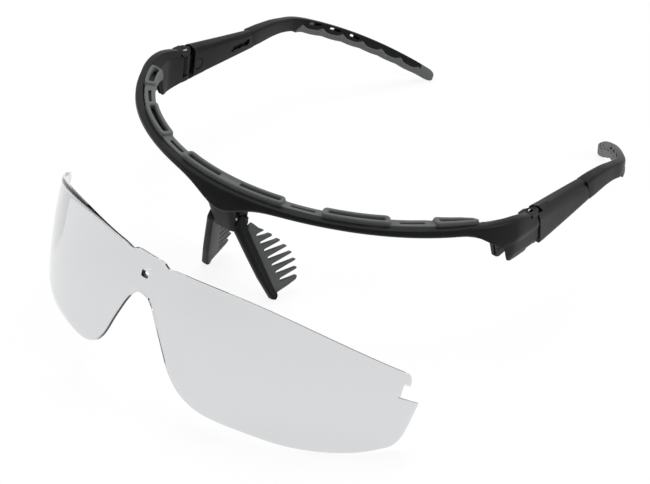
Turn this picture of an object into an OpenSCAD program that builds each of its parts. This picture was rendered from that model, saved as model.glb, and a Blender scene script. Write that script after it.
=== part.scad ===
// Wraparound safety glasses with a removable one-piece lens, in millimetres.
// The origin is the middle of the lens seat on the nose housing, x to the wearer's left, y to the back.

/* [Stance] */
// Height of the brow line above the table
stand_h = 37; // [36:0.1:38]

/* [Brow bar] */
// Radius of the brow in plan, at the front face of the lens
brow_r = 71.6; // [70:0.1:74]
// Half angle of the brow arc before it turns back to the temple
brow_half_angle = 60; // [59:0.5:61]
// Radius of the corner from the brow arc to the temple
turn_r = 40; // [38:0.5:42]
// Thickness of plastic in front of the lens
bar_front = 1.7; // [1.4:0.1:2.2]
// Depth of the bar behind the front face of the lens
bar_back = 4.0; // [3.6:0.1:4.6]
// Height of the bar's top at the middle
bar_top_mid = 2.6; // [2.4:0.1:3.2]
// Height of the bar's top at the sides
bar_top_end = 3.1; // [2.8:0.1:3.4]
// Fall of the lug's top from the sides to the hinges
lug_fall = 2.5; // [2:0.1:3]
// Height of the bar's front lower edge, away from the middle
bar_low = -0.3; // [-1:0.1:0]
// Extra depth of the bar over the nose
chin_drop = 5.0; // [4:0.1:5.4]
// Depth of the seat for the soft guard
guard_seat = 0.7; // [0.5:0.05:0.8]

/* [Lug and hinge] */
// Thickness of the lug from inner to outer face
lug_t = 5.8; // [5.6:0.1:6.2]
// Lowest point of the lug
lug_low = -12.2; // [-13:0.1:-11.6]
// Distance of the hinge pin behind the brow line
hinge_y = 60; // [59.8:0.1:60.2]
// Radius of the hinge knuckle and ears
knuckle_r = 2.2; // [2:0.05:2.3]
// Radius of the hinge pin
hinge_pin_r = 0.9; // [0.7:0.05:1.1]
// Radial clearance of the pins in the parts that turn on them
pin_play = 0.05; // [0.02:0.01:0.1]
// Gap above and below the knuckle
knuckle_gap = 0.2; // [0.1:0.05:0.3]

/* [Guard] */
// Thickness of the guard on top of its seat
guard_t = 0.9; // [0.8:0.05:1.2]
// Height of the raised pads above the bar
pad_h = 1.4; // [1:0.1:2]
// Width of the slots in the raised pads
pad_slot_w = 1.6; // [1.2:0.1:2]

/* [Lens] */
// Thickness of the lens
lens_t = 1.8; // [1.6:0.1:2.2]
// Backward slope of the lens from its top edge down
lens_slope = 0.28; // [0.26:0.01:0.3]
// Radius of the lens's vertical crown
lens_crown_r = 95; // [85:1:110]
// Clearance round the seated lens
lens_play = 0.25; // [0.2:0.05:0.35]

/* [Nose piece] */
// Half width of the nose housing
housing_half = 3.9; // [3.7:0.1:4.1]
// Back face of the nose housing
housing_back = 6.2; // [6:0.1:6.6]
// Lowest face of the nose housing
housing_low = -13; // [-13.4:0.1:-12.6]
// Radius of the nose arm pins
nose_pin_r = 0.6; // [0.4:0.05:0.7]
// Thickness of a nose arm
arm_t = 2.4; // [2:0.1:2.8]
// Thickness of a comb pad
comb_t = 1.3; // [1:0.1:1.6]
// Distance between the comb's fingers
finger_pitch = 3.1; // [2.9:0.05:3.2]
// Width of the gaps between the fingers at their roots
finger_gap = 1.1; // [0.9:0.1:1.2]

/* [Temples] */
// Thickness of the sleeve at its back end
sleeve_t = 4.2; // [4.1:0.1:4.6]
// Thickness of the sliding arm
slide_t = 2.3; // [2:0.1:2.4]
// Height of the sliding arm
slide_h = 5.2; // [5.0:0.1:5.5]
// Clearance of the sliding arm on each side
slide_play = 0.1; // [0.08:0.02:0.16]
// Distance between the length clicks
click = 3.9; // [3.5:0.1:4]
// Tilt of the temple each way, in degrees
tilt = 2; // [1:0.5:3]
// Angle by which the temples turn in behind the sleeve
ear_turn = 30; // [28:0.5:32]
// Pitch of the teeth of the soft tips
tooth_pitch = 7.4; // [7.0:0.1:7.7]
// Height of the teeth of the soft tips
tooth_h = 1.6; // [1.2:0.1:2.0]

/* [Hidden] */
$fn = 48;

black = [0.08, 0.08, 0.085];
grey = [0.30, 0.31, 0.31];
comb_grey = [0.22, 0.24, 0.23];
clear = [0.85, 0.88, 0.90, 0.5];
steel = [0.7, 0.7, 0.72];
eps = 0.01;

// How the lens seats in the bar.
lens_forward = 2.4;
lens_lower = 0.8;
brow_y = brow_r - lens_forward;
turn_x = (brow_r - turn_r) * sin(brow_half_angle);
turn_y = brow_y - (brow_r - turn_r) * cos(brow_half_angle);
side_x = turn_x + turn_r;
lug_outer = side_x + 4.2;
lug_inner = lug_outer - lug_t;
lug_end_y = hinge_y - knuckle_r - 0.6;
// The hinge pin stands this far inside the lug's outer face, the lens ends this far inside the brow line.
hinge_x = lug_outer - 3.266;
lens_half = side_x - 1.166;

// Gull-wing shape of the brow line and of the lens's top edge.
function gull(x) = let(m = abs(x))
    m < 36 ? 1.2 * (1 - cos(5 * m)) : 2.4 - 2.58 * pow((m - 36) / 30, 2);
// A point of the plan at heading a, n outside the brow line. Past 90 it counts millimetres back.
function plan(a, n) = let(s = sign(a), m = abs(a))
    m <= brow_half_angle ? [(brow_r + n) * sin(a), brow_y - (brow_r + n) * cos(a)]
    : m <= 90 ? [s * (turn_x + (turn_r + n) * sin(m)), turn_y - (turn_r + n) * cos(m)]
    : [s * (turn_x + turn_r + n), turn_y + m - 90];
function brow_point(a, n, z) = let(p = plan(a, n)) [p.x, p.y, z];
function clamp01(t) = max(0, min(1, t));
function mix(a, b, t) = a + (b - a) * clamp01(t);

// Closed skin over rings of an even number of points, each ring counter-clockwise seen along the run.
// With turned, the skin's quads are split along their other diagonal.
module sweep(rings, turned = false) {
    n = len(rings[0]);
    last = n * (len(rings) - 1);
    polyhedron(
        points = [for (r = rings) each r],
        faces = concat(
            [for (i = [0:len(rings) - 2], j = [0:n - 1])
                let(a = i * n + j, b = i * n + (j + 1) % n)
                each turned ? [[a, b, a + n], [b, b + n, a + n]] : [[a, b, b + n], [a, b + n, a + n]]],
            [for (j = [0:n / 2 - 2]) each [[j, n - 1 - j, j + 1], [j + 1, n - 1 - j, n - 2 - j]]],
            [for (j = [0:n / 2 - 2]) each
                [[last + j, last + j + 1, last + n - 1 - j],
                    [last + j + 1, last + n - 2 - j, last + n - 1 - j]]]
        )
    );
}
module both_sides() {
    children();
    mirror([1, 0, 0]) children();
}

// The brow bar and its two lugs are one moulding, with a boss at the back for the nose housing.
housing_top = -2.4;
boss_half = 4.6;
boss_top = bar_top_mid - guard_seat - 1.6;
fall_start = 42;
function y_at(a) = plan(a, 0).y;
function bar_top(a) = mix(bar_top_mid, bar_top_end, abs(a) / brow_half_angle)
    - lug_fall * pow(clamp01((y_at(a) - fall_start) / (lug_end_y - fall_start)), 2);
// From the sides on, the top leans in. It is this much lower at n than at its crest.
crest_n = 0.6;
lean_start = 50;
function lean_in(a, n) = min(0.8, 0.025 * max(0, abs(a) - lean_start)) * max(0, crest_n - n);
shell_start = 31;
shell_end = 48.5;
plate_start = 42;
plate_end = 46.5;
chin_spread = 7.4;
function low_out(a) = let(
        t = clamp01((y_at(a) - shell_start) / (shell_end - shell_start)),
        z = bar_low + 0.35 * gull(plan(a, 0).x) - chin_drop * exp(-pow(a / chin_spread, 2)))
    z + (lug_low - z) * pow(t, 2.2);
function low_in(a) = let(y = y_at(a))
    y < plate_end ? mix(-0.6, lug_low + 0.8, (y - plate_start) / (plate_end - plate_start))
    : mix(lug_low + 0.8, lower_ear_low, (y - plate_end) / (lug_end_y - plate_end));
function bar_ring(a) = let(
        t = clamp01((abs(a) - brow_half_angle) / 24),
        out = mix(bar_front, lug_outer - side_x, t),
        in = mix(-bar_back, lug_inner - side_x, t),
        top = bar_top(a),
        seat = abs(a) > guard_end ? 0.02 : guard_seat,
        zo = low_out(a),
        zi = low_in(a),
        crest = mix(seat_n, crest_n, t))
    [for (p = [[in, zi], [mix(in + 2.6, in + 1.4, t), zi], [out - 0.7 - 0.6 * t, zo],
            [out, zo + 0.9 + 2 * t],
            [out - 0.2 - 0.8 * t, top], [crest, top - lean_in(a, crest)],
            [crest - 0.2, top - seat - lean_in(a, crest - 0.2)], [in, top - seat - lean_in(a, in)]])
        brow_point(a, p[0], p[1])];
guard_end = 68.5;
seat_n = -0.6;
lug_end_a = 90 + lug_end_y - turn_y;
turn_stations = [brow_half_angle, 61, 62, 63, 64, 65, 66.2, guard_end - 1.2];
bar_side = concat(turn_stations, [for (a = [guard_end:3:87]) a]);
// Headings of the rings of bar and guard, closer together where a raised pad starts or ends.
brow_half_stations = [4, 8, 12, 15.6, 16.4, 20.3, 24.2, 25, 29, 33, 37.4, 41.6, 42.4, 46, 49.4, 51.4, 52.2,
    56];
bar_mid = concat([for (i = [len(brow_half_stations) - 1:-1:0]) -brow_half_stations[i]], [0],
    brow_half_stations);
bar_stations = concat(
    [-lug_end_a], [for (i = [len(bar_side) - 1:-1:0]) -bar_side[i]], bar_mid, bar_side, [lug_end_a]);

groove_end = 66;
function groove_ring(a) = let(z = gull(plan(a, 0).x) - lens_lower + lens_play, deep = 6)
    [for (p = [[-lens_t - lens_play - lens_slope * deep, -deep], [lens_play, -deep],
            [lens_play + lens_slope * (z + lens_lower), z], [-lens_t - lens_play, z]])
        brow_point(a, p[0], p[1])];

ear_top = bar_top_end - lug_fall;
knuckle_top = -1.2;
knuckle_low = -8.4;
lower_ear_low = lug_low + 1.8;
flap_t = 0.9;
flap_low = lug_low + 0.8;
pin_bite_low = 1.6;
pin_bite_top = 1.1;
pin_low = knuckle_low - knuckle_gap - pin_bite_low;
pin_length = knuckle_top - knuckle_low + 2 * knuckle_gap + pin_bite_low + pin_bite_top;
flap_x = lug_outer - flap_t;
// The slanted seam between the lug's flap and the sleeve, as the height goes down.
function seam_y(z) = hinge_y + 0.8 - 0.38 * (z + 3.3);
module ear(low, top) {
    translate([hinge_x, hinge_y, low]) cylinder(r = knuckle_r, h = top - low);
    translate([lug_inner, lug_end_y - 0.6, low])
        cube([flap_x - lug_inner, hinge_y - lug_end_y + 0.6, top - low]);
}
module flap() {
    translate([lug_outer, 0, 0]) rotate([0, -90, 0]) linear_extrude(flap_t)
        polygon([[ear_top, lug_end_y - eps], [ear_top, seam_y(ear_top)],
            [flap_low + 1, seam_y(flap_low + 1)], [flap_low, seam_y(flap_low) - 1.2],
            [flap_low, lug_end_y - eps]]);
}
// The chin ends in a shield in front of the lens's centre tab, with a slot behind it for the lens.
shield_half = 3.93;
shield_flat = 2.2;
shield_low = housing_low;
shield_low_y = 0.15;
shield_top_y = -lens_forward - bar_front;
shield_turn = 0.8;
shield_high = -2.2;
shield_steps = 4;
function shield_back(z) = lens_face(0, z + lens_lower) - lens_forward - lens_play;
module shield_slice(half, inset) {
    translate([-half, 0, 0]) rotate([90, 0, 90]) linear_extrude(2 * half)
        polygon([[shield_top_y + inset, shield_high], [shield_low_y + inset, shield_low],
            for (k = [0:shield_steps]) let(z = mix(shield_low, shield_high, k / shield_steps))
                [shield_back(z), z]]);
}
module shield() {
    for (k = [0:3]) shield_slice(mix(shield_flat, shield_half, k / 3), shield_turn * pow(k / 3, 2));
}
module brow_frame() {
    color(black) difference() {
        union() {
            sweep([for (a = bar_stations) bar_ring(a)]);
            translate([-boss_half, -0.2, housing_top])
                cube([2 * boss_half, housing_back + 0.2, boss_top - housing_top]);
            both_sides() {
                ear(knuckle_top + knuckle_gap, ear_top);
                ear(lower_ear_low, knuckle_low - knuckle_gap);
                flap();
            }
        }
        sweep([for (a = [-groove_end:4:groove_end]) groove_ring(a)]);
        translate([-tab_half - 1.4, -lens_forward - lens_play, -1])
            cube([2 * tab_half + 2.8, lens_t + 1.2, tab_rise - lens_lower + lens_play + 1]);
        both_sides() {
            translate([0, -lens_forward, -lens_lower]) lens_shape(lens_end_columns, 4, lens_play);
            translate([side_x - 0.4, plate_start + 1, lug_low - 1]) cube([2.6, 10, 9]);
            translate([hinge_x, hinge_y, pin_low]) cylinder(r = hinge_pin_r, h = pin_length);
        }
    }
    color(black) shield();
}

// The soft guard lies on the bar's seat and laps over its inner face, with raised pads.
guard_lip = 0.6;
guard_skirt = 1.6;
guard_half_stations = concat(brow_half_stations, turn_stations, [guard_end]);
guard_stations = concat([for (i = [len(guard_half_stations) - 1:-1:0]) -guard_half_stations[i]], [0],
    guard_half_stations);
pad_spans = [[-1, 15.6], [25, 41.6], [52.2, guard_end - 1.2]];
function raised(a) = len([for (s = pad_spans) if (abs(a) >= s[0] - eps && abs(a) <= s[1] + eps) 1]) > 0;
function guard_ring(a) = let(
        z = bar_top(a) - guard_seat,
        up = raised(a),
        high = up ? guard_seat + pad_h : guard_t,
        back = -bar_back - (up ? guard_lip + 0.2 : guard_lip),
        front = seat_n - (up ? 0.2 : 0.5))
    [for (p = [[-bar_back - guard_lip, z - guard_skirt], [-bar_back, z - guard_skirt], [-bar_back, z + eps],
            [seat_n - 0.2, z + eps], [front, z + high - 0.3], [front - 0.3, z + high],
            [back + 0.3, z + high], [back, z + high - 0.3]])
        brow_point(a, p[0], p[1] - lean_in(a, p[0]))];
// Cutter for a slot between two headings, with tapered ends.
function slot_ring(a, w, low, high) = let(mid = -bar_back + 1.2, z = bar_top(a))
    [for (p = [[mid - w / 2, z + low], [mid + w / 2, z + low], [mid + w / 2, z + high - 0.3],
            [mid + w / 2 - 0.3, z + high], [mid - w / 2 + 0.3, z + high], [mid - w / 2, z + high - 0.3]])
        brow_point(a, p[0], p[1] - lean_in(a, p[0]))];
module slot_cut(a0, a1, w, low, high, round) {
    inner = [for (a = [a0 + round:(a1 - a0 - 2 * round) / 6:a1 - round + eps]) [a, w]];
    sweep([for (s = concat([[a0, w * 0.45], [a0 + round * 0.4, w * 0.8]], inner,
            [[a1 - round * 0.4, w * 0.8], [a1, w * 0.45]]))
        slot_ring(s[0], s[1], low, high)]);
}
pad_slots = [[-65.8, -53.8], [-40.4, -26.6], [-14.4, -3.2], [3.2, 14.4], [26.6, 40.4], [53.8, 65.8]];
strip_slots = [[-50, -43.8], [-23.4, -17.2], [17.2, 23.4], [43.8, 50]];
module brow_guard() {
    color(grey) difference() {
        sweep([for (a = guard_stations) guard_ring(a)], turned = true);
        for (s = pad_slots) slot_cut(s[0], s[1], pad_slot_w, -0.3, pad_h + 1, 0.6);
        for (s = strip_slots) slot_cut(s[0], s[1], 0.8, -0.3, pad_h + 1, 0.5);
    }
}

// Outline and surface of the lens, in the frame of its own top edge.
lens_plan_r = brow_r;
tab_half = 5.4;
tab_rise = 0.8;
prong = lens_half - 1.9;
tip_columns = prong - 4.3;
lip_z = -7.5;
lens_drawn_half = 66.2;
lens_low_drawn = [[0, -10.4], [3.4, -12.1], [7.9, -20.2], [12.1, -28.2], [16.2, -32.4], [22.4, -34.5],
    [33.3, -33.9], [45.3, -32.3], [55.5, -28.6], [62.6, -23.6], [65.2, -18.6], [lens_drawn_half, -8.3]];
lens_low_points = [for (p = lens_low_drawn) [p.x * lens_half / lens_drawn_half, p.y]];
function slope_at(p, i) = i == 0 ? 0 : i == len(p) - 1 ? (p[i].y - p[i - 1].y) / (p[i].x - p[i - 1].x)
    : (p[i + 1].y - p[i - 1].y) / (p[i + 1].x - p[i - 1].x);
function smooth(p, x) = let(
        i = max([for (k = [0:len(p) - 2]) if (k == 0 || p[k].x <= x) k]),
        w = p[i + 1].x - p[i].x,
        t = clamp01((x - p[i].x) / w))
    p[i].y * (2 * pow(t, 3) - 3 * t * t + 1) + p[i + 1].y * (3 * t * t - 2 * pow(t, 3))
    + w * (slope_at(p, i) * (pow(t, 3) - 2 * t * t + t) + slope_at(p, i + 1) * (pow(t, 3) - t * t));
function lens_face(x, z) = let(r = lens_plan_r)
    r - sqrt(r * r - x * x) - lens_slope * z + z * z / (2 * lens_crown_r);
function lens_low(x) = smooth(lens_low_points, min(abs(x), lens_half));
function lens_high(x) = let(m = abs(x))
    m <= tab_half - 1.1 ? tab_rise
    : m <= tab_half + 1.1 ? mix(tab_rise, -0.2, (m - tab_half + 1.1) / 2.2)
    : m <= prong + eps ? gull(m) + lookup(m, [[6.5, -0.4], [9, 0], [prong - 3.3, -0.3], [prong - 0.7, -0.3],
        [prong, -1.9]])
    : lip_z;
lens_half_columns = concat([1.4, 2.8, 4.3, 5.4, 6.5, 8], [for (k = [0:29]) mix(9.5, tip_columns, k / 29)],
    [prong - 2.7, prong - 1.5, prong - 0.7, prong, prong + 0.05, prong + 0.9, lens_half - 0.4, lens_half]);
lens_columns = concat([for (i = [len(lens_half_columns) - 1:-1:0]) -lens_half_columns[i]], [0],
    lens_half_columns);
lens_end_columns = [for (k = [0:4]) lens_half - 10.2 + 2.05 * k, lens_half - 0.8, lens_half - 0.4,
    lens_half + 0.1];
module lens_shape(columns, rows, grow) {
    sweep([for (x = columns) let(
                low = lens_low(x) - grow,
                high = (grow > 0 ? gull(min(abs(x), tip_columns)) : lens_high(x)) + grow,
                gx = grow > 0 && abs(x) > lens_half ? grow : 0)
        concat(
            [for (j = [0:rows]) let(z = mix(low, high, j / rows)) [x + gx, lens_face(x, z) - grow, z]],
            [for (j = [rows:-1:0]) let(z = mix(low, high, j / rows))
                [x + gx, lens_face(x, z) + lens_t + grow, z]])]);
}
clip_z = -4.3;
clip_w = 2.4;
clip_h = 2.0;
module lens_in_own_frame() {
    difference() {
        lens_shape(lens_columns, 6, 0);
        translate([0, lens_face(0, clip_z) + lens_t, clip_z]) rotate([atan(seat_lean), 0, 0])
            translate([-clip_w / 2, -5, -clip_h / 2]) cube([clip_w, 9, clip_h]);
        both_sides() translate([prong - 1, 30, lip_z - eps]) cube([1.1, 20, 4]);
    }
}
// The lens is shown taken off: it stands on the table in front of the frame, leaning back.
lens_rest = [16.8, -53.8, 45.77 - stand_h];
lens_turn = [-27.7, 1.9, -0.8];
module lens() {
    color(clear) translate(lens_rest) rotate([0, 0, lens_turn.z]) rotate([lens_turn.x, 0, 0])
        rotate([0, lens_turn.y, 0]) lens_in_own_frame();
}

// The nose housing hangs under the middle of the bar, its front parallel to the seated lens.
seat_z = -8;
seat_y = -lens_forward - lens_slope * (seat_z + lens_lower) + lens_t + 0.3 + 0.27;
seat_lean = 0.36;
nose_pin_x = 2.7;
nose_pin_z = -10;
eye_r = 1.3;
pocket_y = 3.0;
nub_w = 1.8;
nub_h = 1.3;
nub_out = 1.2;
pocket_d = 2.4;
// The lens rests on the lower part of the housing's front. The part round the nub lies a little back.
seat_top = -6.5;
seat_step = 0.15;
function housing_front(z) = seat_y - seat_lean * (z - seat_z);
module nose_housing() {
    color(black) difference() {
        union() {
            translate([-housing_half, 0, 0]) rotate([90, 0, 90]) linear_extrude(2 * housing_half)
                polygon([[housing_front(housing_top) + seat_step, housing_top],
                    [housing_front(seat_top) + seat_step, seat_top], [housing_front(seat_top), seat_top],
                    [housing_front(housing_low), housing_low],
                    [housing_back - 0.6, housing_low], [housing_back, housing_low + 0.6],
                    [housing_back, housing_top]]);
            translate([0, housing_front(clip_z - lens_lower), clip_z - lens_lower])
                rotate([atan(seat_lean), 0, 0])
                translate([-nub_w / 2, -nub_out, -nub_h / 2]) cube([nub_w, nub_out + 0.6, nub_h]);
        }
        both_sides() {
            translate([nose_pin_x - eye_r - 0.3, pocket_y, housing_low - 1])
                cube([4, pocket_d, nose_pin_z + eye_r + 0.4 - housing_low + 1]);
            translate([nose_pin_x, pocket_y - 0.9, nose_pin_z]) rotate([-90, 0, 0])
                cylinder(r = nose_pin_r, h = pocket_d + 1.6);
        }
    }
}
// The pins are ground flush with the seat, so that the lens lies flat on it.
module nose_pin(side) {
    flush = 0.02;
    top = nose_pin_z + 1;
    low = nose_pin_z - 1;
    color(steel) intersection() {
        translate([side * nose_pin_x, pocket_y - 0.9, nose_pin_z]) rotate([-90, 0, 0])
            cylinder(r = nose_pin_r, h = pocket_d + 1.6);
        translate([side * nose_pin_x - 1, 0, 0]) rotate([90, 0, 90]) linear_extrude(2)
            polygon([[housing_front(top) + flush, top], [housing_front(low) + flush, low],
                [housing_back, low], [housing_back, top]]);
    }
}

// Plane of a nose arm and its comb: u runs down the arm, v runs to the finger tips.
arm_root = [5.4, 4.2, -10];
arm_u = [0.287, 0.321, -0.903] / norm([0.287, 0.321, -0.903]);
comb_dir = [0.09, 0.93, 0.355];
arm_v = (comb_dir - (comb_dir * arm_u) * arm_u) / norm(comb_dir - (comb_dir * arm_u) * arm_u);
arm_n = cross(arm_u, arm_v);
toe_v = -2.2;
arm_len = (stand_h + arm_root.z + toe_v * arm_v.z - arm_t / 2 * arm_n.z) / -arm_u.z;
module in_arm_plane() {
    multmatrix([for (k = [0:2]) [arm_u[k], arm_v[k], arm_n[k], arm_root[k]]]) children();
}
comb_v = -0.9;
channel_v = -2.9;
module arm_outline() {
    polygon([[-1.5, comb_v], [-1.9, -3.4], [-0.2, -5.2], [3.2, -5.0], [10.2, -4.8], [18.9, -4.4],
        [arm_len - 4.6, -3.8], [arm_len - 1.4, -3.5], [arm_len - 0.4, -3.0], [arm_len, toe_v],
        [arm_len - 0.4, -1.4], [arm_len - 1.2, comb_v]]);
}
module nose_arm_shape() {
    difference() {
        union() {
            in_arm_plane() translate([0, 0, -arm_t / 2]) linear_extrude(arm_t) arm_outline();
            translate([nose_pin_x, pocket_y + 0.2, nose_pin_z]) rotate([-90, 0, 0])
                cylinder(r = eye_r, h = pocket_d - 0.4);
            translate([nose_pin_x, pocket_y + 0.2, nose_pin_z - eye_r])
                cube([arm_root.x - nose_pin_x - 0.4, pocket_d - 0.4, 2 * eye_r - 0.3]);
        }
        in_arm_plane() translate([1.5, channel_v, arm_t / 2 - 0.8]) cube([arm_len - 3.6, 5, 2]);
        translate([nose_pin_x, pocket_y, nose_pin_z]) rotate([-90, 0, 0])
            cylinder(r = nose_pin_r + pin_play, h = pocket_d);
        translate([0, -5, housing_low - 0.2]) cube([housing_half + 0.35, pocket_y + 5.2, 12]);
        translate([0, pocket_y + pocket_d - 0.2, housing_low - 0.2]) cube([housing_half + 0.35, 5, 12]);
    }
}
module nose_arm(side) {
    color(black) mirror([side < 0 ? 1 : 0, 0, 0]) nose_arm_shape();
}
comb_top = 1.7;
finger_first = 6.5;
finger_count = 8;
comb_end = finger_first + (finger_count - 2) * finger_pitch + 3.0;
// Reach of the fingers, longest two thirds of the way down. They lean this much down the arm per mm.
longest = 22.6;
reach_top = 10.4;
finger_lean = 0.3;
finger_flare = 0.75;
function finger_reach(u) = u < longest ? reach_top - 6.5 * pow((longest - u) / 16.6, 1.75)
    : reach_top - 1.6 * pow((u - longest) / 5.3, 1.3);
function finger_root(u) = 1.4 + 1.4 * pow(u / 25, 2);
module comb_outline() {
    difference() {
        polygon(concat([[comb_top, comb_v], [comb_top, 1.5], [6, finger_reach(6)]],
            [for (u = [7.5:1.5:comb_end]) [u, finger_reach(u)]],
            [[comb_end + 0.4, finger_reach(comb_end + 0.4)], [comb_end + 1, 7.6],
                [comb_end - 0.2, comb_v]]));
        for (i = [0:finger_count - 2]) let(u = finger_first + i * finger_pitch, v = finger_root(u),
                r = finger_gap / 2, high = reach_top + 1, lean = finger_lean * (high - v)) {
            translate([u, v]) circle(r = r, $fn = 16);
            polygon([[u - r, v], [u - r - finger_flare + lean, high],
                [u + r + finger_flare + lean, high], [u + r, v]]);
        }
    }
}
module nose_pad(side) {
    color(comb_grey) mirror([side < 0 ? 1 : 0, 0, 0]) in_arm_plane()
        translate([0, 0, -arm_t / 2]) linear_extrude(comb_t) comb_outline();
}

// Hinge pins, pressed into the lug's ears.
module hinge_pin(side) {
    color(steel) translate([side * hinge_x, hinge_y, pin_low]) cylinder(r = hinge_pin_r, h = pin_length);
}

// The hinge block turns on the hinge pin and carries the sleeve on the tilt pin.
tilt_y = hinge_y + 5.4;
tilt_z = -6;
tilt_pin_r = 1.0;
tilt_head_r = 1.8;
tilt_head_t = 0.8;
sleeve_front = hinge_y + knuckle_r + 0.9;
tongue_t = 2.0;
tongue_x = hinge_x - tongue_t / 2;
tongue_end = tilt_y + 3.2;
module hinge_block(side) {
    color(black) mirror([side < 0 ? 1 : 0, 0, 0]) difference() {
        union() {
            translate([hinge_x, hinge_y, knuckle_low])
                cylinder(r = knuckle_r, h = knuckle_top - knuckle_low);
            translate([tongue_x, hinge_y, knuckle_low + 0.4])
                cube([tongue_t, tongue_end - hinge_y, knuckle_top - knuckle_low - 2]);
        }
        translate([hinge_x, hinge_y, knuckle_low - 1])
            cylinder(r = hinge_pin_r + pin_play, h = knuckle_top - knuckle_low + 2);
        translate([tongue_x - 1, tilt_y, tilt_z]) rotate([0, 90, 0])
            cylinder(r = tilt_pin_r + pin_play, h = tongue_t + 2);
    }
}

// The sleeve is a tapered tube from the hinge to its slanted back end.
sleeve_end = 95;
sleeve_in_end = hinge_x - 2.3;
slide_x = sleeve_in_end + sleeve_t / 2;
slide_z = -6.3;
side_play = 0.15;
sleeve_top = 1.0;
seam_lean = 0.38;
sleeve_lip = 0.9;
// Towards its back end the temple rolls inwards: x falls this much per mm of height.
temple_roll = 0.14;
function sleeve_ring(y, front) = let(
        t = (y - sleeve_front) / (sleeve_end - sleeve_front),
        in = mix(lug_inner + 0.05, sleeve_in_end, t),
        out = front ? flap_x - 0.2 : mix(lug_outer, sleeve_in_end + sleeve_t, t),
        top = mix(sleeve_top, slide_z + slide_h / 2 + slide_play + sleeve_lip, t),
        low = mix(-12.2, slide_z - slide_h / 2 - slide_play - sleeve_lip, t),
        roll = front ? 0 : temple_roll * t)
    [for (p = [[in, low + 2.2 * (1 - t)], [mix(in, out, 0.45), low + 0.3], [out - 0.7, low],
            [out, low + 0.8], [out, top - 1.0], [out - 1.0, top], [in + 0.6, top - 0.9 * (1 - t)],
            [in, top - 1.2 - 0.6 * (1 - t)]])
        [p[0] - roll * (p[1] - slide_z), y - (front ? 0 : seam_lean * (p[1] - slide_z)), p[1]]];
// The seam's gap leaves room for the tilt.
seam_gap = 0.3 + 7.6 * sin(tilt);
cover_front = seam_y(slide_z) + seam_gap;
module sleeve_body() {
    sweep([for (k = [0:5]) sleeve_ring(mix(cover_front, sleeve_end, k / 5), false)]);
    intersection() {
        sweep([for (k = [0:2]) sleeve_ring(sleeve_front + 4.5 * k, true)]);
        translate([0, sleeve_front, -20]) cube([100, 6, 40]);
    }
}
module temple_sleeve(side) {
    color(black) mirror([side < 0 ? 1 : 0, 0, 0]) difference() {
        sleeve_body();
        translate([lug_inner - 1, hinge_y - 10, -20])
            cube([flap_x - lug_inner + 1, sleeve_front - hinge_y + 10, 40]);
        translate([tongue_x - side_play, sleeve_front - 1, knuckle_low - 0.3])
            cube([tongue_t + 2 * side_play, tongue_end - sleeve_front + 1.5,
                knuckle_top - knuckle_low - 0.6]);
        translate([slide_x - slide_t / 2 - slide_play, tongue_end + 2.5, slide_z - slide_h / 2 - slide_play])
            cube([slide_t + 2 * slide_play, 60, slide_h + 2 * slide_play]);
        translate([lug_inner - 1, tilt_y, tilt_z]) rotate([0, 90, 0])
            cylinder(r = tilt_pin_r, h = hinge_x + 1.9 - lug_inner + 1);
        translate([lug_inner - 1, tilt_y, tilt_z]) rotate([0, 90, 0])
            cylinder(r = tilt_head_r + 0.25, h = 1.05 + tilt_head_t);
        for (i = [0:clicks]) translate([lug_inner - 1, catch_y + i * click, slide_z]) rotate([0, 90, 0])
            cylinder(r = i == clicks ? 1.35 : 1.15, h = 3);
        translate([lug_inner - 1, catch_y, slide_z - 0.85]) cube([3, clicks * click, 1.7]);
    }
}
module tilt_pin(side) {
    color(steel) mirror([side < 0 ? 1 : 0, 0, 0]) translate([0, tilt_y, tilt_z]) rotate([0, 90, 0]) {
        translate([0, 0, lug_inner + 0.15]) cylinder(r = tilt_head_r, h = tilt_head_t - 0.1);
        translate([0, 0, lug_inner + 0.5]) cylinder(r = tilt_pin_r, h = hinge_x + 1.9 - lug_inner - 0.5);
    }
}

// The arm slides in the sleeve, then turns in and drops behind the ear.
clicks = 2;
catch_y = 83.9;
slide_front = 74.2;
bend_y = 117;
bend_r = 20;
drop_y = 106;
body_h = 6.9;
// The tip's sole lies this far below its centre line where it touches the table.
tip_sole = 1.25;
ear_drop = stand_h + slide_z - tip_sole;
tip_y = 175;
bend_end = bend_y + bend_r * sin(ear_turn);
function arm_x(y) = y < bend_y ? slide_x
    : y < bend_end ? slide_x - bend_r + sqrt(bend_r * bend_r - pow(y - bend_y, 2))
    : slide_x - bend_r * (1 - cos(ear_turn)) - (y - bend_end) * tan(ear_turn);
function arm_z(y) = slide_z - ear_drop * pow(clamp01((y - drop_y) / (tip_y - drop_y)), 1.7);
function arm_h(y) = mix(body_h, 5.5, (y - 100) / 14) - 0.5 * clamp01((y - 150) / 25);
function arm_w(y) = mix(sleeve_t, 3.2, (y - 97) / 16);
tooth_first = 124.1;
tooth_count = 7;
rubber_start = tooth_first - 3;
core_end = tooth_first + tooth_count * tooth_pitch - 7;
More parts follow.
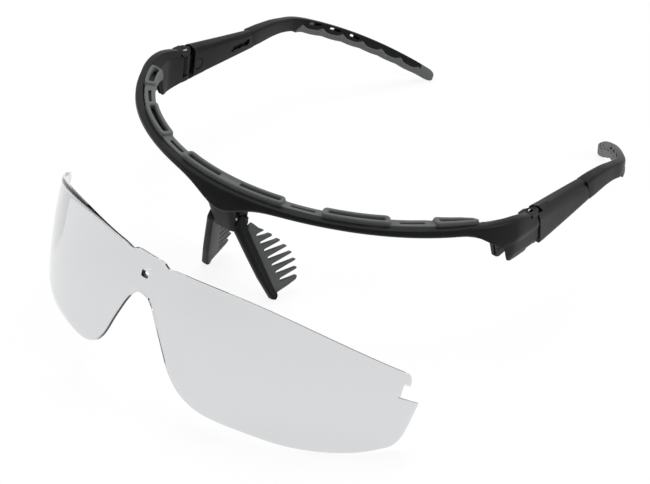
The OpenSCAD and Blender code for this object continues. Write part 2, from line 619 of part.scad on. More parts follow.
// Height of the rubber above the arm's lower edge: a sharp tooth, then a hollow.
function rubber_h(y) = y < tooth_first
    ? mix(0.3, 1.9 + tooth_h, (y - rubber_start) / (tooth_first - rubber_start))
    : let(s = (y - tooth_first) / tooth_pitch, f = s - floor(s + 0.001))
        1.9 + tooth_h * pow(abs(1 - 2 * f), 3) + 0.25 * f;
function scallop(y) = 0.35 * abs(sin(180 * (y - tooth_first) / tooth_pitch));
function arm_ring(y, low, high, w, roll = temple_roll) = let(x = arm_x(y), z = arm_z(y), c = 0.5)
    [for (p = [[-w / 2, low + c], [-w / 2 + c, low], [w / 2 - c, low], [w / 2, low + c],
            [w / 2, high - c], [w / 2 - c, high], [-w / 2 + c, high], [-w / 2, high - c]])
        [x + p[0] - roll * p[1], y, z + p[1]]];
tooth_steps = [0, 0.12, 0.3, 0.5, 0.7, 0.88];
rubber_ys = concat([rubber_start, tooth_first - 1], [for (i = [0:tooth_count - 2], s = tooth_steps)
    tooth_first + (i + s) * tooth_pitch], [core_end]);
body_ys = [100, 104, 108, 112, 116, 118.5, 120.6];
body_gap = 0.12;
// The body starts behind the sleeve's slanted end.
function body_front() = [for (p = arm_ring(sleeve_end + body_gap, -body_h / 2, body_h / 2, sleeve_t))
    [p.x, p.y - seam_lean * (p.z - slide_z), p.z]];
module temple_arm(side) {
    color(black) mirror([side < 0 ? 1 : 0, 0, 0]) difference() {
        union() {
            sweep([for (y = [slide_front, sleeve_end + 3])
                arm_ring(y, -slide_h / 2, slide_h / 2, slide_t, 0)]);
            sweep(concat([body_front()],
                [for (y = body_ys) arm_ring(y, -arm_h(y) / 2, arm_h(y) / 2, arm_w(y))],
                [for (y = rubber_ys) arm_ring(y, rubber_h(y) - arm_h(y) / 2, arm_h(y) / 2, arm_w(y))]));
            translate([slide_x - slide_t / 2 - 0.65, catch_y, slide_z]) rotate([0, 90, 0])
                cylinder(r = 0.75, h = 1);
        }
        for (i = [0:2]) let(y = tooth_first + (i + 0.25) * tooth_pitch)
            translate([arm_x(y + 2) - 4, y, arm_z(y) + 0.9]) rotate([-atan(0.42 * (i + 1) / 2), 0, 0])
                cube([8, 4.4, 0.9]);
    }
}
module temple_tip(side) {
    color(grey) mirror([side < 0 ? 1 : 0, 0, 0])
        sweep(concat(
            [for (y = rubber_ys) arm_ring(y, -arm_h(y) / 2 - scallop(y), rubber_h(y) - arm_h(y) / 2,
                arm_w(y) + 0.3)],
            [for (y = [core_end + eps, tip_y - 3]) arm_ring(y, -arm_h(y) / 2, arm_h(y) / 2, arm_w(y) + 0.3)],
            [for (e = [[1.6, 0.9], [0.6, 0.68], [0, 0.4]])
                arm_ring(tip_y - e[0], -arm_h(tip_y) / 2 * e[1], arm_h(tip_y) / 2 * e[1],
                    arm_w(tip_y) * e[1])]));
}

module place() {
    translate([0, -seat_y, -seat_z]) children();
}
place() brow_frame();
place() brow_guard();
place() nose_housing();
place() nose_pin(1);  // nose_pin_left
place() nose_pin(-1);  // nose_pin_right
place() nose_arm(1);  // nose_arm_left
place() nose_arm(-1);  // nose_arm_right
place() nose_pad(1);  // nose_pad_left
place() nose_pad(-1);  // nose_pad_right
place() lens();
place() hinge_pin(1);  // hinge_pin_left
place() hinge_pin(-1);  // hinge_pin_right
place() hinge_block(1);  // hinge_block_left
place() hinge_block(-1);  // hinge_block_right
place() tilt_pin(1);  // tilt_pin_left
place() tilt_pin(-1);  // tilt_pin_right
place() temple_sleeve(1);  // temple_sleeve_left
place() temple_sleeve(-1);  // temple_sleeve_right
place() temple_arm(1);  // temple_arm_left
place() temple_arm(-1);  // temple_arm_right
place() temple_tip(1);  // temple_tip_left
place() temple_tip(-1);  // temple_tip_right
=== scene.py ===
import math
import bpy
from mathutils import Matrix, Vector


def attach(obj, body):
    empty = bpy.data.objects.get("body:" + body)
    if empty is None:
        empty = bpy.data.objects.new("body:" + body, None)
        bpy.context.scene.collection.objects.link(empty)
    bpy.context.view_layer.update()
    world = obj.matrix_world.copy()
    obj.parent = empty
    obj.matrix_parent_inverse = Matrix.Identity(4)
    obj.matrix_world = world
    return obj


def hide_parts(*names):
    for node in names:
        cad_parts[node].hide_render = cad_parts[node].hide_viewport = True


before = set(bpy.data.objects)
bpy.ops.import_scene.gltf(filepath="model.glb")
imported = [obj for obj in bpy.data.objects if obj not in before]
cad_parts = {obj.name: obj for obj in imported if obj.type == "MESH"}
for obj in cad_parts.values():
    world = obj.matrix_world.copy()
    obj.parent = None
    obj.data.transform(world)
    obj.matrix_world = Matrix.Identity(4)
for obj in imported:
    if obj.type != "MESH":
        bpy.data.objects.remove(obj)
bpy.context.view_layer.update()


# Camera, room and lamps
# A product table in a white studio: a pale floor, a big soft box overhead and two weaker ones.
# The camera looks down on the glasses from the wearer's left front, a little rolled.
MM = 0.001
SEAT_Y, SEAT_Z = 1.986, -8.0
TABLE_Z = -37.0
FOCAL_PX, PICTURE_W = 1700, 650


def at(x, y, z):
    """Metres from the middle of the lens seat, for millimetres from the middle of the brow line."""
    return (x * MM, (y - SEAT_Y) * MM, (z - SEAT_Z) * MM)


LOOK_AZ, LOOK_EL, LOOK_ROLL = (math.radians(a) for a in (32.271, 31.908, 8.463))
LOOK_SIDE, LOOK_UP, LOOK_AWAY = -28.441, 15.032, 495.097
back = Vector((math.sin(LOOK_AZ) * math.cos(LOOK_EL), -math.cos(LOOK_AZ) * math.cos(LOOK_EL),
               math.sin(LOOK_EL)))
level = Vector((math.cos(LOOK_AZ), math.sin(LOOK_AZ), 0))
upright = back.cross(level)
right = level * math.cos(LOOK_ROLL) + upright * math.sin(LOOK_ROLL)
up = upright * math.cos(LOOK_ROLL) - level * math.sin(LOOK_ROLL)
bpy.ops.object.camera_add()
camera = bpy.context.object
camera.data.sensor_width = 36
camera.data.lens = 36 * FOCAL_PX / PICTURE_W
camera.data.clip_start, camera.data.clip_end = 0.01, 20
look_from = right * -LOOK_SIDE - up * LOOK_UP + back * LOOK_AWAY
turn = Matrix((right, up, back)).transposed().to_4x4()
camera.matrix_world = Matrix.Translation(at(*look_from)) @ turn
bpy.context.scene.camera = camera
bpy.context.scene.view_settings.view_transform = "Standard"


def nodes_of(name):
    material = bpy.data.materials.new(name)
    material.use_nodes = True
    return material, material.node_tree.nodes, material.node_tree.links


def seen_directly(nodes, links):
    """1 for what the camera sees: straight, through the clear lens or as a reflection."""
    path = nodes.new("ShaderNodeLightPath")
    answer = path.outputs["Is Camera Ray"]
    for kind in ("Is Transmission Ray", "Is Glossy Ray"):
        either = nodes.new("ShaderNodeMath")
        either.operation = "MAXIMUM"
        links.new(answer, either.inputs[0])
        links.new(path.outputs[kind], either.inputs[1])
        answer = either.outputs[0]
    return answer


FLOOR_W, FLOOR_DROP, FLOOR_OWN_LIGHT = 6, 0.05, 0.86
bpy.ops.mesh.primitive_plane_add(size=FLOOR_W, location=at(0, 0, TABLE_Z - FLOOR_DROP))
floor = bpy.context.object
floor.name = "table_top"
paint, nodes, links = nodes_of("white_table")
paper = nodes["Principled BSDF"]
paper.inputs["Base Color"].default_value = (0.9, 0.9, 0.9, 1)
paper.inputs["Roughness"].default_value = 0.9
paper.inputs["Specular IOR Level"].default_value = 0.1
glow = nodes.new("ShaderNodeEmission")
blend = nodes.new("ShaderNodeMixShader")
share = nodes.new("ShaderNodeMath")
share.operation = "MULTIPLY"
share.inputs[1].default_value = FLOOR_OWN_LIGHT
links.new(seen_directly(nodes, links), share.inputs[0])
links.new(share.outputs[0], blend.inputs["Fac"])
links.new(paper.outputs["BSDF"], blend.inputs[1])
links.new(glow.outputs["Emission"], blend.inputs[2])
links.new(blend.outputs["Shader"], nodes["Material Output"].inputs["Surface"])
floor.data.materials.append(paint)

world = bpy.data.worlds.new("studio")
bpy.context.scene.world = world
world.use_nodes = True
nodes, links = world.node_tree.nodes, world.node_tree.links
room = nodes["Background"]
room.inputs["Color"].default_value = (0.96, 0.98, 1.0, 1)
room.inputs["Strength"].default_value = 0.42
white = nodes.new("ShaderNodeBackground")
white.inputs["Color"].default_value = (1, 1, 1, 1)
white.inputs["Strength"].default_value = 1.0
blend = nodes.new("ShaderNodeMixShader")
links.new(seen_directly(nodes, links), blend.inputs["Fac"])
links.new(room.outputs["Background"], blend.inputs[1])
links.new(white.outputs["Background"], blend.inputs[2])
links.new(blend.outputs["Shader"], nodes["World Output"].inputs["Surface"])


def soft_box(name, place, aim, width, height, power):
    """A rectangular area lamp at a place, turned to look at an aim."""
    bpy.ops.object.light_add(type="AREA", location=at(*place))
    lamp = bpy.context.object
    lamp.name = name
    lamp.data.shape = "RECTANGLE"
    lamp.data.size, lamp.data.size_y = width * MM, height * MM
    lamp.data.energy = power
    way = Vector(at(*aim)) - lamp.location
    lamp.rotation_euler = way.to_track_quat("-Z", "Y").to_euler()
    return lamp


soft_box("overhead_box", (-120, 120, 620), (0, 60, 0), 620, 460, 3.2)
soft_box("front_box", (-420, -420, 320), (0, 20, -10), 300, 380, 1.1)
soft_box("side_box", (515, 160, 265), (70, 55, -3), 150, 260, 1.3)


# Brow frame
# The black half frame is one injection moulding: the bar over the lens, its two side lugs with the
# hinge ears, and the boss for the nose piece. The lens's groove runs along its underside.
BROW_R, BROW_HALF, TURN_R = 71.6, 60.0, 40.0
LENS_FORWARD, LENS_LOWER, LENS_T, LENS_SLOPE, LENS_PLAY = 2.4, 0.8, 1.8, 0.28, 0.25
BROW_Y = BROW_R - LENS_FORWARD
TURN_X = (BROW_R - TURN_R) * math.sin(math.radians(BROW_HALF))
TURN_Y = BROW_Y - (BROW_R - TURN_R) * math.cos(math.radians(BROW_HALF))
SIDE_X = TURN_X + TURN_R
LUG_OUTER, LUG_T, LUG_LOW = SIDE_X + 4.2, 5.8, -12.2
LUG_INNER = LUG_OUTER - LUG_T
HINGE_X, HINGE_Y, KNUCKLE_R = 68.3, 60.0, 2.2
LUG_END_Y = HINGE_Y - KNUCKLE_R - 0.6
BAR_FRONT, BAR_BACK, BAR_LOW, CHIN_DROP, CHIN_SPREAD = 1.7, 4.0, -0.3, 5.0, 7.4
TOP_MID, TOP_END, LUG_FALL, FALL_START = 2.6, 3.1, 2.5, 42.0
GUARD_SEAT, SEAT_N, CREST_N, GUARD_END = 0.7, -0.6, 0.6, 68.5
SHELL_START, SHELL_END, PLATE_START, PLATE_END = 31.0, 48.5, 42.0, 46.5
KNUCKLE_TOP, KNUCKLE_LOW, KNUCKLE_GAP, PIN_R = -1.2, -8.4, 0.2, 0.9
EAR_LOW, EAR_TOP = LUG_LOW + 1.8, TOP_END - LUG_FALL
FLAP_T = 0.9
FLAP_X = LUG_OUTER - FLAP_T
HOUSING_TOP, HOUSING_LOW, HOUSING_BACK, BOSS_HALF, GUARD_SKIRT = -2.4, -13.0, 6.2, 4.6, 1.6
GULL_RISE, GULL_TURN, GULL_PEAK, GULL_FALL, GULL_RUN, GULL_SHARE = 1.2, 5, 36, 2.58, 30, 0.35
BLEND_TURN, SHELL_POWER, PLATE_LOW, EDGE_SEAT, WAIST_IN = 24, 2.2, LUG_LOW + 0.8, 0.03, 0.5
LEAN_START, LEAN_RATE, LEAN_MOST, WAIST_START, WAIST_RUN = 50, 0.025, 0.8, 40, 12


def mix(a, b, t):
    """From a to b as t goes from 0 to 1, and no further either way."""
    return a + (b - a) * max(0.0, min(1.0, t))


def gull(x):
    """The wave of the lens's upper edge: low over the nose and high over each eye."""
    m = abs(x)
    if m < GULL_PEAK:
        return GULL_RISE * (1 - math.cos(math.radians(GULL_TURN * m)))
    return 2 * GULL_RISE - GULL_FALL * ((m - GULL_PEAK) / GULL_RUN) ** 2


def brow_point(heading, n, z):
    """A point n mm outside the brow line at a heading. Past 90 degrees the heading counts mm back."""
    side, m = (1 if heading >= 0 else -1), abs(heading)
    a = math.radians(m)
    if m <= BROW_HALF:
        return (side * (BROW_R + n) * math.sin(a), BROW_Y - (BROW_R + n) * math.cos(a), z)
    if m <= 90:
        return (side * (TURN_X + (TURN_R + n) * math.sin(a)), TURN_Y - (TURN_R + n) * math.cos(a), z)
    return (side * (SIDE_X + n), TURN_Y + m - 90, z)


def rounded(corners, radius, steps=3):
    """A closed outline with every corner rounded. A corner may bring its own radius as third value."""
    line = []
    for k, corner in enumerate(corners):
        p, a = Vector(corner[:2]), Vector(corners[k - 1][:2])
        b = Vector(corners[(k + 1) % len(corners)][:2])
        r = corner[2] if len(corner) > 2 else radius
        start = p + (a - p).normalized() * min(r, (a - p).length * 0.45)
        end = p + (b - p).normalized() * min(r, (b - p).length * 0.45)
        for s in range(steps + 1):
            t = s / steps
            line.append(start * (1 - t) ** 2 + p * 2 * t * (1 - t) + end * t * t)
    return line


def alone(*pieces):
    """Selects these pieces and nothing else, and makes the first one active."""
    bpy.ops.object.select_all(action="DESELECT")
    for piece in pieces:
        piece.select_set(True)
    bpy.context.view_layer.objects.active = pieces[0]


def moulding(name, rings, looped=False):
    """A sheet rolled round a run of cross-sections: its seam is merged and its ends are filled."""
    if looped:
        rings = rings + rings[:1]
    across, along = len(rings[0]), len(rings)
    bpy.ops.object.select_all(action="DESELECT")
    bpy.ops.mesh.primitive_grid_add(x_subdivisions=across, y_subdivisions=along - 1)
    piece = bpy.context.object
    piece.name = piece.data.name = name
    flat = [c for ring in rings for j in range(across + 1) for c in at(*ring[j % across])]
    piece.data.vertices.foreach_set("co", flat)
    bpy.ops.object.mode_set(mode="EDIT")
    bpy.ops.mesh.select_all(action="SELECT")
    bpy.ops.mesh.remove_doubles(threshold=2e-6)
    bpy.ops.mesh.fill_holes(sides=0)
    bpy.ops.mesh.normals_make_consistent(inside=False)
    bpy.ops.object.mode_set(mode="OBJECT")
    return piece


def block(name, low, high):
    """A plain cube between two corners, used as a cutter or as a start."""
    bpy.ops.object.select_all(action="DESELECT")
    middle = [(a + b) / 2 for a, b in zip(low, high)]
    size = [(b - a) * MM for a, b in zip(low, high)]
    bpy.ops.mesh.primitive_cube_add(size=1, location=at(*middle), scale=size)
    piece = bpy.context.object
    piece.name = name
    bpy.ops.object.transform_apply(location=True, rotation=True, scale=True)
    return piece


def rod(name, place, axis, radius, length, sides=40):
    """A cylinder that starts at a place and runs along an axis."""
    bpy.ops.object.select_all(action="DESELECT")
    way = Vector(axis).normalized()
    middle = Vector(place) + way * length / 2
    turned = way.to_track_quat("Z", "Y").to_euler()
    bpy.ops.mesh.primitive_cylinder_add(vertices=sides, radius=radius * MM, depth=length * MM,
                                        location=at(*middle), rotation=turned)
    piece = bpy.context.object
    piece.name = name
    bpy.ops.object.transform_apply(location=True, rotation=True, scale=True)
    return piece


def flipped(piece, name):
    """The same piece for the other side of the face, mirrored over the mid plane."""
    alone(piece)
    bpy.ops.object.duplicate()
    twin = bpy.context.object
    twin.name = twin.data.name = name
    twin.data.transform(Matrix.Scale(-1, 4, (1, 0, 0)))
    twin.data.flip_normals()
    return twin


def carve(piece, cutters, operation="DIFFERENCE"):
    """Cuts each cutter out of the piece, or melts it in, and removes it."""
    for cutter in cutters:
        alone(piece)
        step = piece.modifiers.new("cut", "BOOLEAN")
        step.operation = operation
        step.solver = "EXACT"
        step.object = cutter
        bpy.ops.object.modifier_apply(modifier=step.name)
        bpy.data.objects.remove(cutter)
    return piece


def smoothed(piece, angle=35):
    """Shades smooth all but the edges that are sharper than the angle."""
    alone(piece)
    bpy.ops.object.shade_smooth_by_angle(angle=math.radians(angle))
    return piece


def bar_top(a):
    """The height of the bar's top at a heading: level over the eyes, and falling along the lugs."""
    fall = mix(0, 1, (brow_point(a, 0, 0)[1] - FALL_START) / (LUG_END_Y - FALL_START))
    return mix(TOP_MID, TOP_END, abs(a) / BROW_HALF) - LUG_FALL * fall ** 2


def lean_in(a, n):
    """From the sides on, the top leans in: it is this much lower at n than at its crest."""
    return min(LEAN_MOST, LEAN_RATE * max(0.0, abs(a) - LEAN_START)) * max(0.0, CREST_N - n)


def bar_ring(a):
    """The bar's cross-section at a heading. Over the turn it blends into the lug's."""
    t = max(0.0, min(1.0, (abs(a) - BROW_HALF) / BLEND_TURN))
    x, y = brow_point(a, 0, 0)[:2]
    out, inn = mix(BAR_FRONT, LUG_OUTER - SIDE_X, t), mix(-BAR_BACK, LUG_INNER - SIDE_X, t)
    top, crest = bar_top(a), mix(SEAT_N, CREST_N, t)
    seat = GUARD_SEAT if abs(a) <= GUARD_END + 0.5 else EDGE_SEAT
    fall = mix(0, 1, (y - SHELL_START) / (SHELL_END - SHELL_START))
    low_out = BAR_LOW + GULL_SHARE * gull(x) - CHIN_DROP * math.exp(-(a / CHIN_SPREAD) ** 2)
    low_out += (LUG_LOW - low_out) * fall ** SHELL_POWER
    if y < PLATE_END:
        low_in = mix(-0.6, PLATE_LOW, (y - PLATE_START) / (PLATE_END - PLATE_START))
    else:
        low_in = mix(PLATE_LOW, EAR_LOW, (y - PLATE_END) / (LUG_END_Y - PLATE_END))
    waist = mix(0.0, WAIST_IN, (y - WAIST_START) / WAIST_RUN)
    lip = crest - 0.2
    corners = [(inn, low_in, 0.3), (mix(inn + 2.6, inn + 1.4, t), low_in, 0.2),
               (out - 0.7 - 0.6 * t, low_out, 0.5), (out - waist, low_out + 0.9 + 2 * t, 0.7),
               (out - waist * 0.9, mix(low_out + 1.6, -5.2, t), 0.8),
               (out, mix(low_out + 2.2, -3.4, t), 1.2), (out - 0.2 - 0.8 * t, top, 0.7 + 0.5 * t),
               (crest, top - lean_in(a, crest), 0.12), (lip, top - seat - lean_in(a, lip), 0.1),
               (inn, top - seat - lean_in(a, inn), 0.35)]
    return [brow_point(a, p.x, p.y) for p in rounded(corners, 0.3)]


def run(first, last, step):
    """Evenly spaced values from first to last, about a step apart."""
    count = max(1, round((last - first) / step))
    return [first + (last - first) * k / count for k in range(count + 1)]


SEAM_SET, SEAM_Z, SEAM_LEAN = 0.8, -3.3, 0.38


def seam_y(z):
    """How far back the slanted seam between lug and sleeve lies, at a height."""
    return HINGE_Y + SEAM_SET - SEAM_LEAN * (z - SEAM_Z)


LENS_BOW = 190


def lens_surface(x, z):
    """How far back the lens's front face lies. It leans out at its foot and bows a little."""
    return BROW_R - math.sqrt(BROW_R ** 2 - x * x) - LENS_SLOPE * z + z * z / LENS_BOW


LENS_LOW = [(0, -10.4), (3.4, -12.1), (7.9, -20.2), (12.1, -28.2), (16.2, -32.4), (22.4, -34.5),
            (33.3, -33.9), (45.3, -32.3), (55.5, -28.6), (62.6, -23.6), (65.2, -18.6), (66.2, -8.3)]
LENS_HALF = 66.2


def lens_low(x):
    """The lens's lower edge: a smooth line through its points, the same on both sides."""
    x, p = min(abs(x), LENS_HALF), LENS_LOW
    i = max(k for k in range(len(p) - 1) if k == 0 or p[k][0] <= x)

    def slope(k):
        a, b = p[max(k - 1, 0)], p[min(k + 1, len(p) - 1)]
        return 0 if k == 0 else (b[1] - a[1]) / (b[0] - a[0])
    w = p[i + 1][0] - p[i][0]
    t = (x - p[i][0]) / w
    return (p[i][1] * (2 * t ** 3 - 3 * t * t + 1) + p[i + 1][1] * (3 * t * t - 2 * t ** 3)
            + w * (slope(i) * (t ** 3 - 2 * t * t + t) + slope(i + 1) * (t ** 3 - t * t)))


FLAP_END_Y = 65.2
flap_end = 90 + FLAP_END_Y - TURN_Y
side_stations = run(60, 90, 1.25) + run(90.5, flap_end, 0.8)
stations = [-a for a in reversed(side_stations)] + run(-59, 59, 1.18) + side_stations
brow = moulding("brow_bar", [bar_ring(a) for a in stations])
GROOVE_DEEP, GROOVE_END, TAB_ROOM_HALF, TAB_ROOM_BACK = 6, 66, 6.8, LENS_T + 1.2 - 2.65
groove = moulding("groove", [[brow_point(a, n, z) for n, z in (
    (-LENS_T - LENS_PLAY - LENS_SLOPE * GROOVE_DEEP, -GROOVE_DEEP), (LENS_PLAY, -GROOVE_DEEP),
    (LENS_PLAY + LENS_SLOPE * (top + LENS_LOWER), top), (-LENS_T - LENS_PLAY, top))]
    for a in run(-GROOVE_END, GROOVE_END, 1.2)
    for top in [gull(brow_point(a, 0, 0)[0]) - LENS_LOWER + LENS_PLAY]])
cutters = [groove, block("tab_room", (-TAB_ROOM_HALF, -LENS_FORWARD - LENS_PLAY, -1),
                         (TAB_ROOM_HALF, TAB_ROOM_BACK, 0.25))]
# Each side gets a room for the lens's hooked end, and the lug is opened for its lip and the hinge.
for s in (1, -1):
    ends = []
    for x in run(56, LENS_HALF + 0.1, 1.0):
        low, high = lens_low(x) - LENS_PLAY, gull(min(x, 60)) + LENS_PLAY
        wide = x + (LENS_PLAY if x > LENS_HALF else 0)
        zs = run(low, high, (high - low) / 8)
        ring = [(wide, lens_surface(x, z) - LENS_PLAY, z) for z in zs]
        ring += [(wide, lens_surface(x, z) + LENS_T + LENS_PLAY, z) for z in reversed(zs)]
        ends.append([(s * px, py - LENS_FORWARD, pz - LENS_LOWER) for px, py, pz in ring])
    cutters.append(moulding("lens_room", ends))
    rooms = (("lip_room", (SIDE_X - 0.4, PLATE_START + 1, LUG_LOW - 1),
              (SIDE_X + 2.2, PLATE_START + 11, LUG_LOW + 8)),
             ("hinge_room", (LUG_INNER - 4, LUG_END_Y, LUG_LOW - 1), (FLAP_X, 75, 8)))
    for name, low, high in rooms:
        corners = sorted([s * low[0], s * high[0]])
        cutters.append(block(name, (corners[0],) + low[1:], (corners[1],) + high[1:]))
carve(brow, cutters)
alone(brow)
bpy.ops.object.mode_set(mode="EDIT")
bpy.ops.mesh.select_all(action="SELECT")
slant = Vector((0, 1, SEAM_LEAN)).normalized()
bpy.ops.mesh.bisect(plane_co=at(0, seam_y(0), 0), plane_no=slant, use_fill=True, clear_outer=True)
bpy.ops.object.mode_set(mode="OBJECT")
# The two ears of each hinge are added, with their tops slanted inwards, and the pin's hole is drilled.
EAR_SLANT, EAR_SLANT_MOST = 0.8, 0.9
for s in (1, -1):
    for low, high in ((KNUCKLE_TOP + KNUCKLE_GAP, EAR_TOP), (EAR_LOW, KNUCKLE_LOW - KNUCKLE_GAP)):
        xs = sorted([s * (LUG_INNER + 0.02), s * (FLAP_X + 0.2)])
        ear = block("hinge_ear", (xs[0], LUG_END_Y - 0.4, low), (xs[1], HINGE_Y, high))
        carve(ear, [rod("round", (s * HINGE_X, HINGE_Y, low), (0, 0, 1), KNUCKLE_R, high - low)], "UNION")
        for vertex in ear.data.vertices:
            n = abs(vertex.co.x) / MM - SIDE_X
            if vertex.co.z > at(0, 0, EAR_TOP - 0.1)[2] and n < CREST_N:
                vertex.co.z -= min(EAR_SLANT_MOST, EAR_SLANT * (CREST_N - n)) * MM
        carve(brow, [ear], "UNION")
    carve(brow, [rod("pin_hole", (s * HINGE_X, HINGE_Y, KNUCKLE_LOW - 1.8), (0, 0, 1), PIN_R,
                     KNUCKLE_TOP - KNUCKLE_LOW + 3.1)])
boss = block("boss", (-BOSS_HALF, -0.2, HOUSING_TOP),
             (BOSS_HALF, HOUSING_BACK, TOP_MID - GUARD_SEAT - GUARD_SKIRT))
carve(brow, [boss], "UNION")


def shield_back(z):
    """The shield's back face stays clear of the lens's tab by the lens's play."""
    return lens_surface(0, z + LENS_LOWER) - LENS_FORWARD - LENS_PLAY


# The chin runs down into a shield in front of the lens's centre tab.
SHIELD_HALF, SHIELD_FLAT, SHIELD_TURN, SHIELD_HIGH = 3.93, 2.2, 0.8, -2.2
SHIELD_FLARE, FLARE_LOW, SHIELD_TOP_Y, SHIELD_LOW_Y = 0.36, -10, -4.1, 0.15
rings = []
for x in run(-SHIELD_HALF, SHIELD_HALF, 0.25):
    turned = SHIELD_TURN * max(0.0, (abs(x) - SHIELD_FLAT) / (SHIELD_HALF - SHIELD_FLAT)) ** 2
    edge = 0.25 if abs(x) > SHIELD_HALF - 0.1 else 0.4
    corners = [(SHIELD_TOP_Y + turned, SHIELD_HIGH, 0.02), (SHIELD_LOW_Y + turned, HOUSING_LOW, edge)]
    corners += [(shield_back(z), z, 0.05 if z > HOUSING_LOW else 0.3)
                for z in run(HOUSING_LOW, SHIELD_HIGH, 2.7)]
    rings.append([(x * (1 + mix(0, SHIELD_FLARE, (p.y - FLARE_LOW) / (SHIELD_HIGH - FLARE_LOW))), p.x, p.y)
                  for p in rounded(corners, 0.3)])
carve(brow, [moulding("shield", rings)], "UNION")
smoothed(brow)


def grain_group():
    """Fine spark-eroded grain of a moulding, with broader patches where the gloss changes a little."""
    group = bpy.data.node_groups.new("moulded_grain", "ShaderNodeTree")
    for socket, kind in (("Coordinates", "NodeSocketVector"), ("Grain Scale", "NodeSocketFloat"),
                         ("Patch Scale", "NodeSocketFloat")):
        group.interface.new_socket(socket, in_out="INPUT", socket_type=kind)
    for socket in ("Grain", "Patches"):
        group.interface.new_socket(socket, in_out="OUTPUT", socket_type="NodeSocketFloat")
    nodes, links = group.nodes, group.links
    source, sink = nodes.new("NodeGroupInput"), nodes.new("NodeGroupOutput")
    fine, coarse = nodes.new("ShaderNodeTexNoise"), nodes.new("ShaderNodeTexNoise")
    cells = nodes.new("ShaderNodeTexVoronoi")
    fine.inputs["Detail"].default_value = 3
    coarse.inputs["Detail"].default_value = 2
    both = nodes.new("ShaderNodeMath")
    both.operation = "MULTIPLY_ADD"
    both.inputs[1].default_value = 0.6
    for texture, scale in ((fine, "Grain Scale"), (cells, "Grain Scale"), (coarse, "Patch Scale")):
        links.new(source.outputs["Coordinates"], texture.inputs["Vector"])
        links.new(source.outputs[scale], texture.inputs["Scale"])
    links.new(cells.outputs["Distance"], both.inputs[0])
    links.new(fine.outputs["Fac"], both.inputs[2])
    links.new(both.outputs[0], sink.inputs["Grain"])
    links.new(coarse.outputs["Fac"], sink.inputs["Patches"])
    return group


def wear_group():
    """Rubbed edges and loose dust: a mask that follows convex edges, broken up by noise."""
    group = bpy.data.node_groups.new("rubbed_edges", "ShaderNodeTree")
    for socket, kind in (("Coordinates", "NodeSocketVector"), ("Break Scale", "NodeSocketFloat")):
        group.interface.new_socket(socket, in_out="INPUT", socket_type=kind)
    for socket in ("Rub", "Dust"):
        group.interface.new_socket(socket, in_out="OUTPUT", socket_type="NodeSocketFloat")
    nodes, links = group.nodes, group.links
    source, sink = nodes.new("NodeGroupInput"), nodes.new("NodeGroupOutput")
    shape = nodes.new("ShaderNodeNewGeometry")
    edge, speck = nodes.new("ShaderNodeValToRGB"), nodes.new("ShaderNodeValToRGB")
    for ramp, start, end in ((edge, 0.51, 0.60), (speck, 0.62, 0.78)):
        ramp.color_ramp.elements[0].position, ramp.color_ramp.elements[1].position = start, end
    noise, dust = nodes.new("ShaderNodeTexNoise"), nodes.new("ShaderNodeTexNoise")
    noise.inputs["Detail"].default_value = 5
    dust.inputs["Detail"].default_value = 8
    dust.inputs["Scale"].default_value = 900
    times = nodes.new("ShaderNodeMath")
    times.operation = "MULTIPLY"
    links.new(source.outputs["Coordinates"], noise.inputs["Vector"])
    links.new(source.outputs["Coordinates"], dust.inputs["Vector"])
    links.new(source.outputs["Break Scale"], noise.inputs["Scale"])
    links.new(shape.outputs["Pointiness"], edge.inputs["Fac"])
    links.new(edge.outputs["Color"], times.inputs[0])
    links.new(noise.outputs["Fac"], times.inputs[1])
    links.new(times.outputs[0], sink.inputs["Rub"])
    links.new(dust.outputs["Fac"], speck.inputs["Fac"])
    links.new(speck.outputs["Color"], sink.inputs["Dust"])
    return group


GRAIN, WEAR = grain_group(), wear_group()


def grained(name, dark, light, rubbed, gloss, grain_mm, bump, dust=0.0):
    """A moulded finish: two close tones in patches, paler rubbed edges, and a bump from the grain."""
    material, nodes, links = nodes_of(name)
    surface = nodes["Principled BSDF"]
    place = nodes.new("ShaderNodeTexCoord")
    grain, wear = nodes.new("ShaderNodeGroup"), nodes.new("ShaderNodeGroup")
    grain.node_tree, wear.node_tree = GRAIN, WEAR
    grain.inputs["Grain Scale"].default_value = 1 / (grain_mm * MM)
    grain.inputs["Patch Scale"].default_value = 110
    wear.inputs["Break Scale"].default_value = 420
    for user in (grain, wear):
        links.new(place.outputs["Object"], user.inputs["Coordinates"])
    tone, edge, dusty = (nodes.new("ShaderNodeMix") for _ in range(3))
    for mixer in (tone, edge, dusty):
        mixer.data_type = "RGBA"
    tone.inputs["A"].default_value, tone.inputs["B"].default_value = (*dark, 1), (*light, 1)
    edge.inputs["B"].default_value = (*rubbed, 1)
    dusty.inputs["B"].default_value = (0.3, 0.3, 0.28, 1)
    amount = nodes.new("ShaderNodeMath")
    amount.operation = "MULTIPLY"
    amount.inputs[1].default_value = dust
    links.new(grain.outputs["Patches"], tone.inputs["Factor"])
    links.new(tone.outputs["Result"], edge.inputs["A"])
    links.new(wear.outputs["Rub"], edge.inputs["Factor"])
    links.new(wear.outputs["Dust"], amount.inputs[0])
    links.new(edge.outputs["Result"], dusty.inputs["A"])
    links.new(amount.outputs[0], dusty.inputs["Factor"])
    links.new(dusty.outputs["Result"], surface.inputs["Base Color"])
    rough = nodes.new("ShaderNodeMapRange")
    rough.inputs["To Min"].default_value, rough.inputs["To Max"].default_value = gloss
    links.new(grain.outputs["Patches"], rough.inputs["Value"])
    links.new(rough.outputs["Result"], surface.inputs["Roughness"])
    relief = nodes.new("ShaderNodeBump")
    relief.inputs["Strength"].default_value = bump
    relief.inputs["Distance"].default_value = grain_mm * MM * 0.25
    links.new(grain.outputs["Grain"], relief.inputs["Height"])
    links.new(relief.outputs["Normal"], surface.inputs["Normal"])
    return material


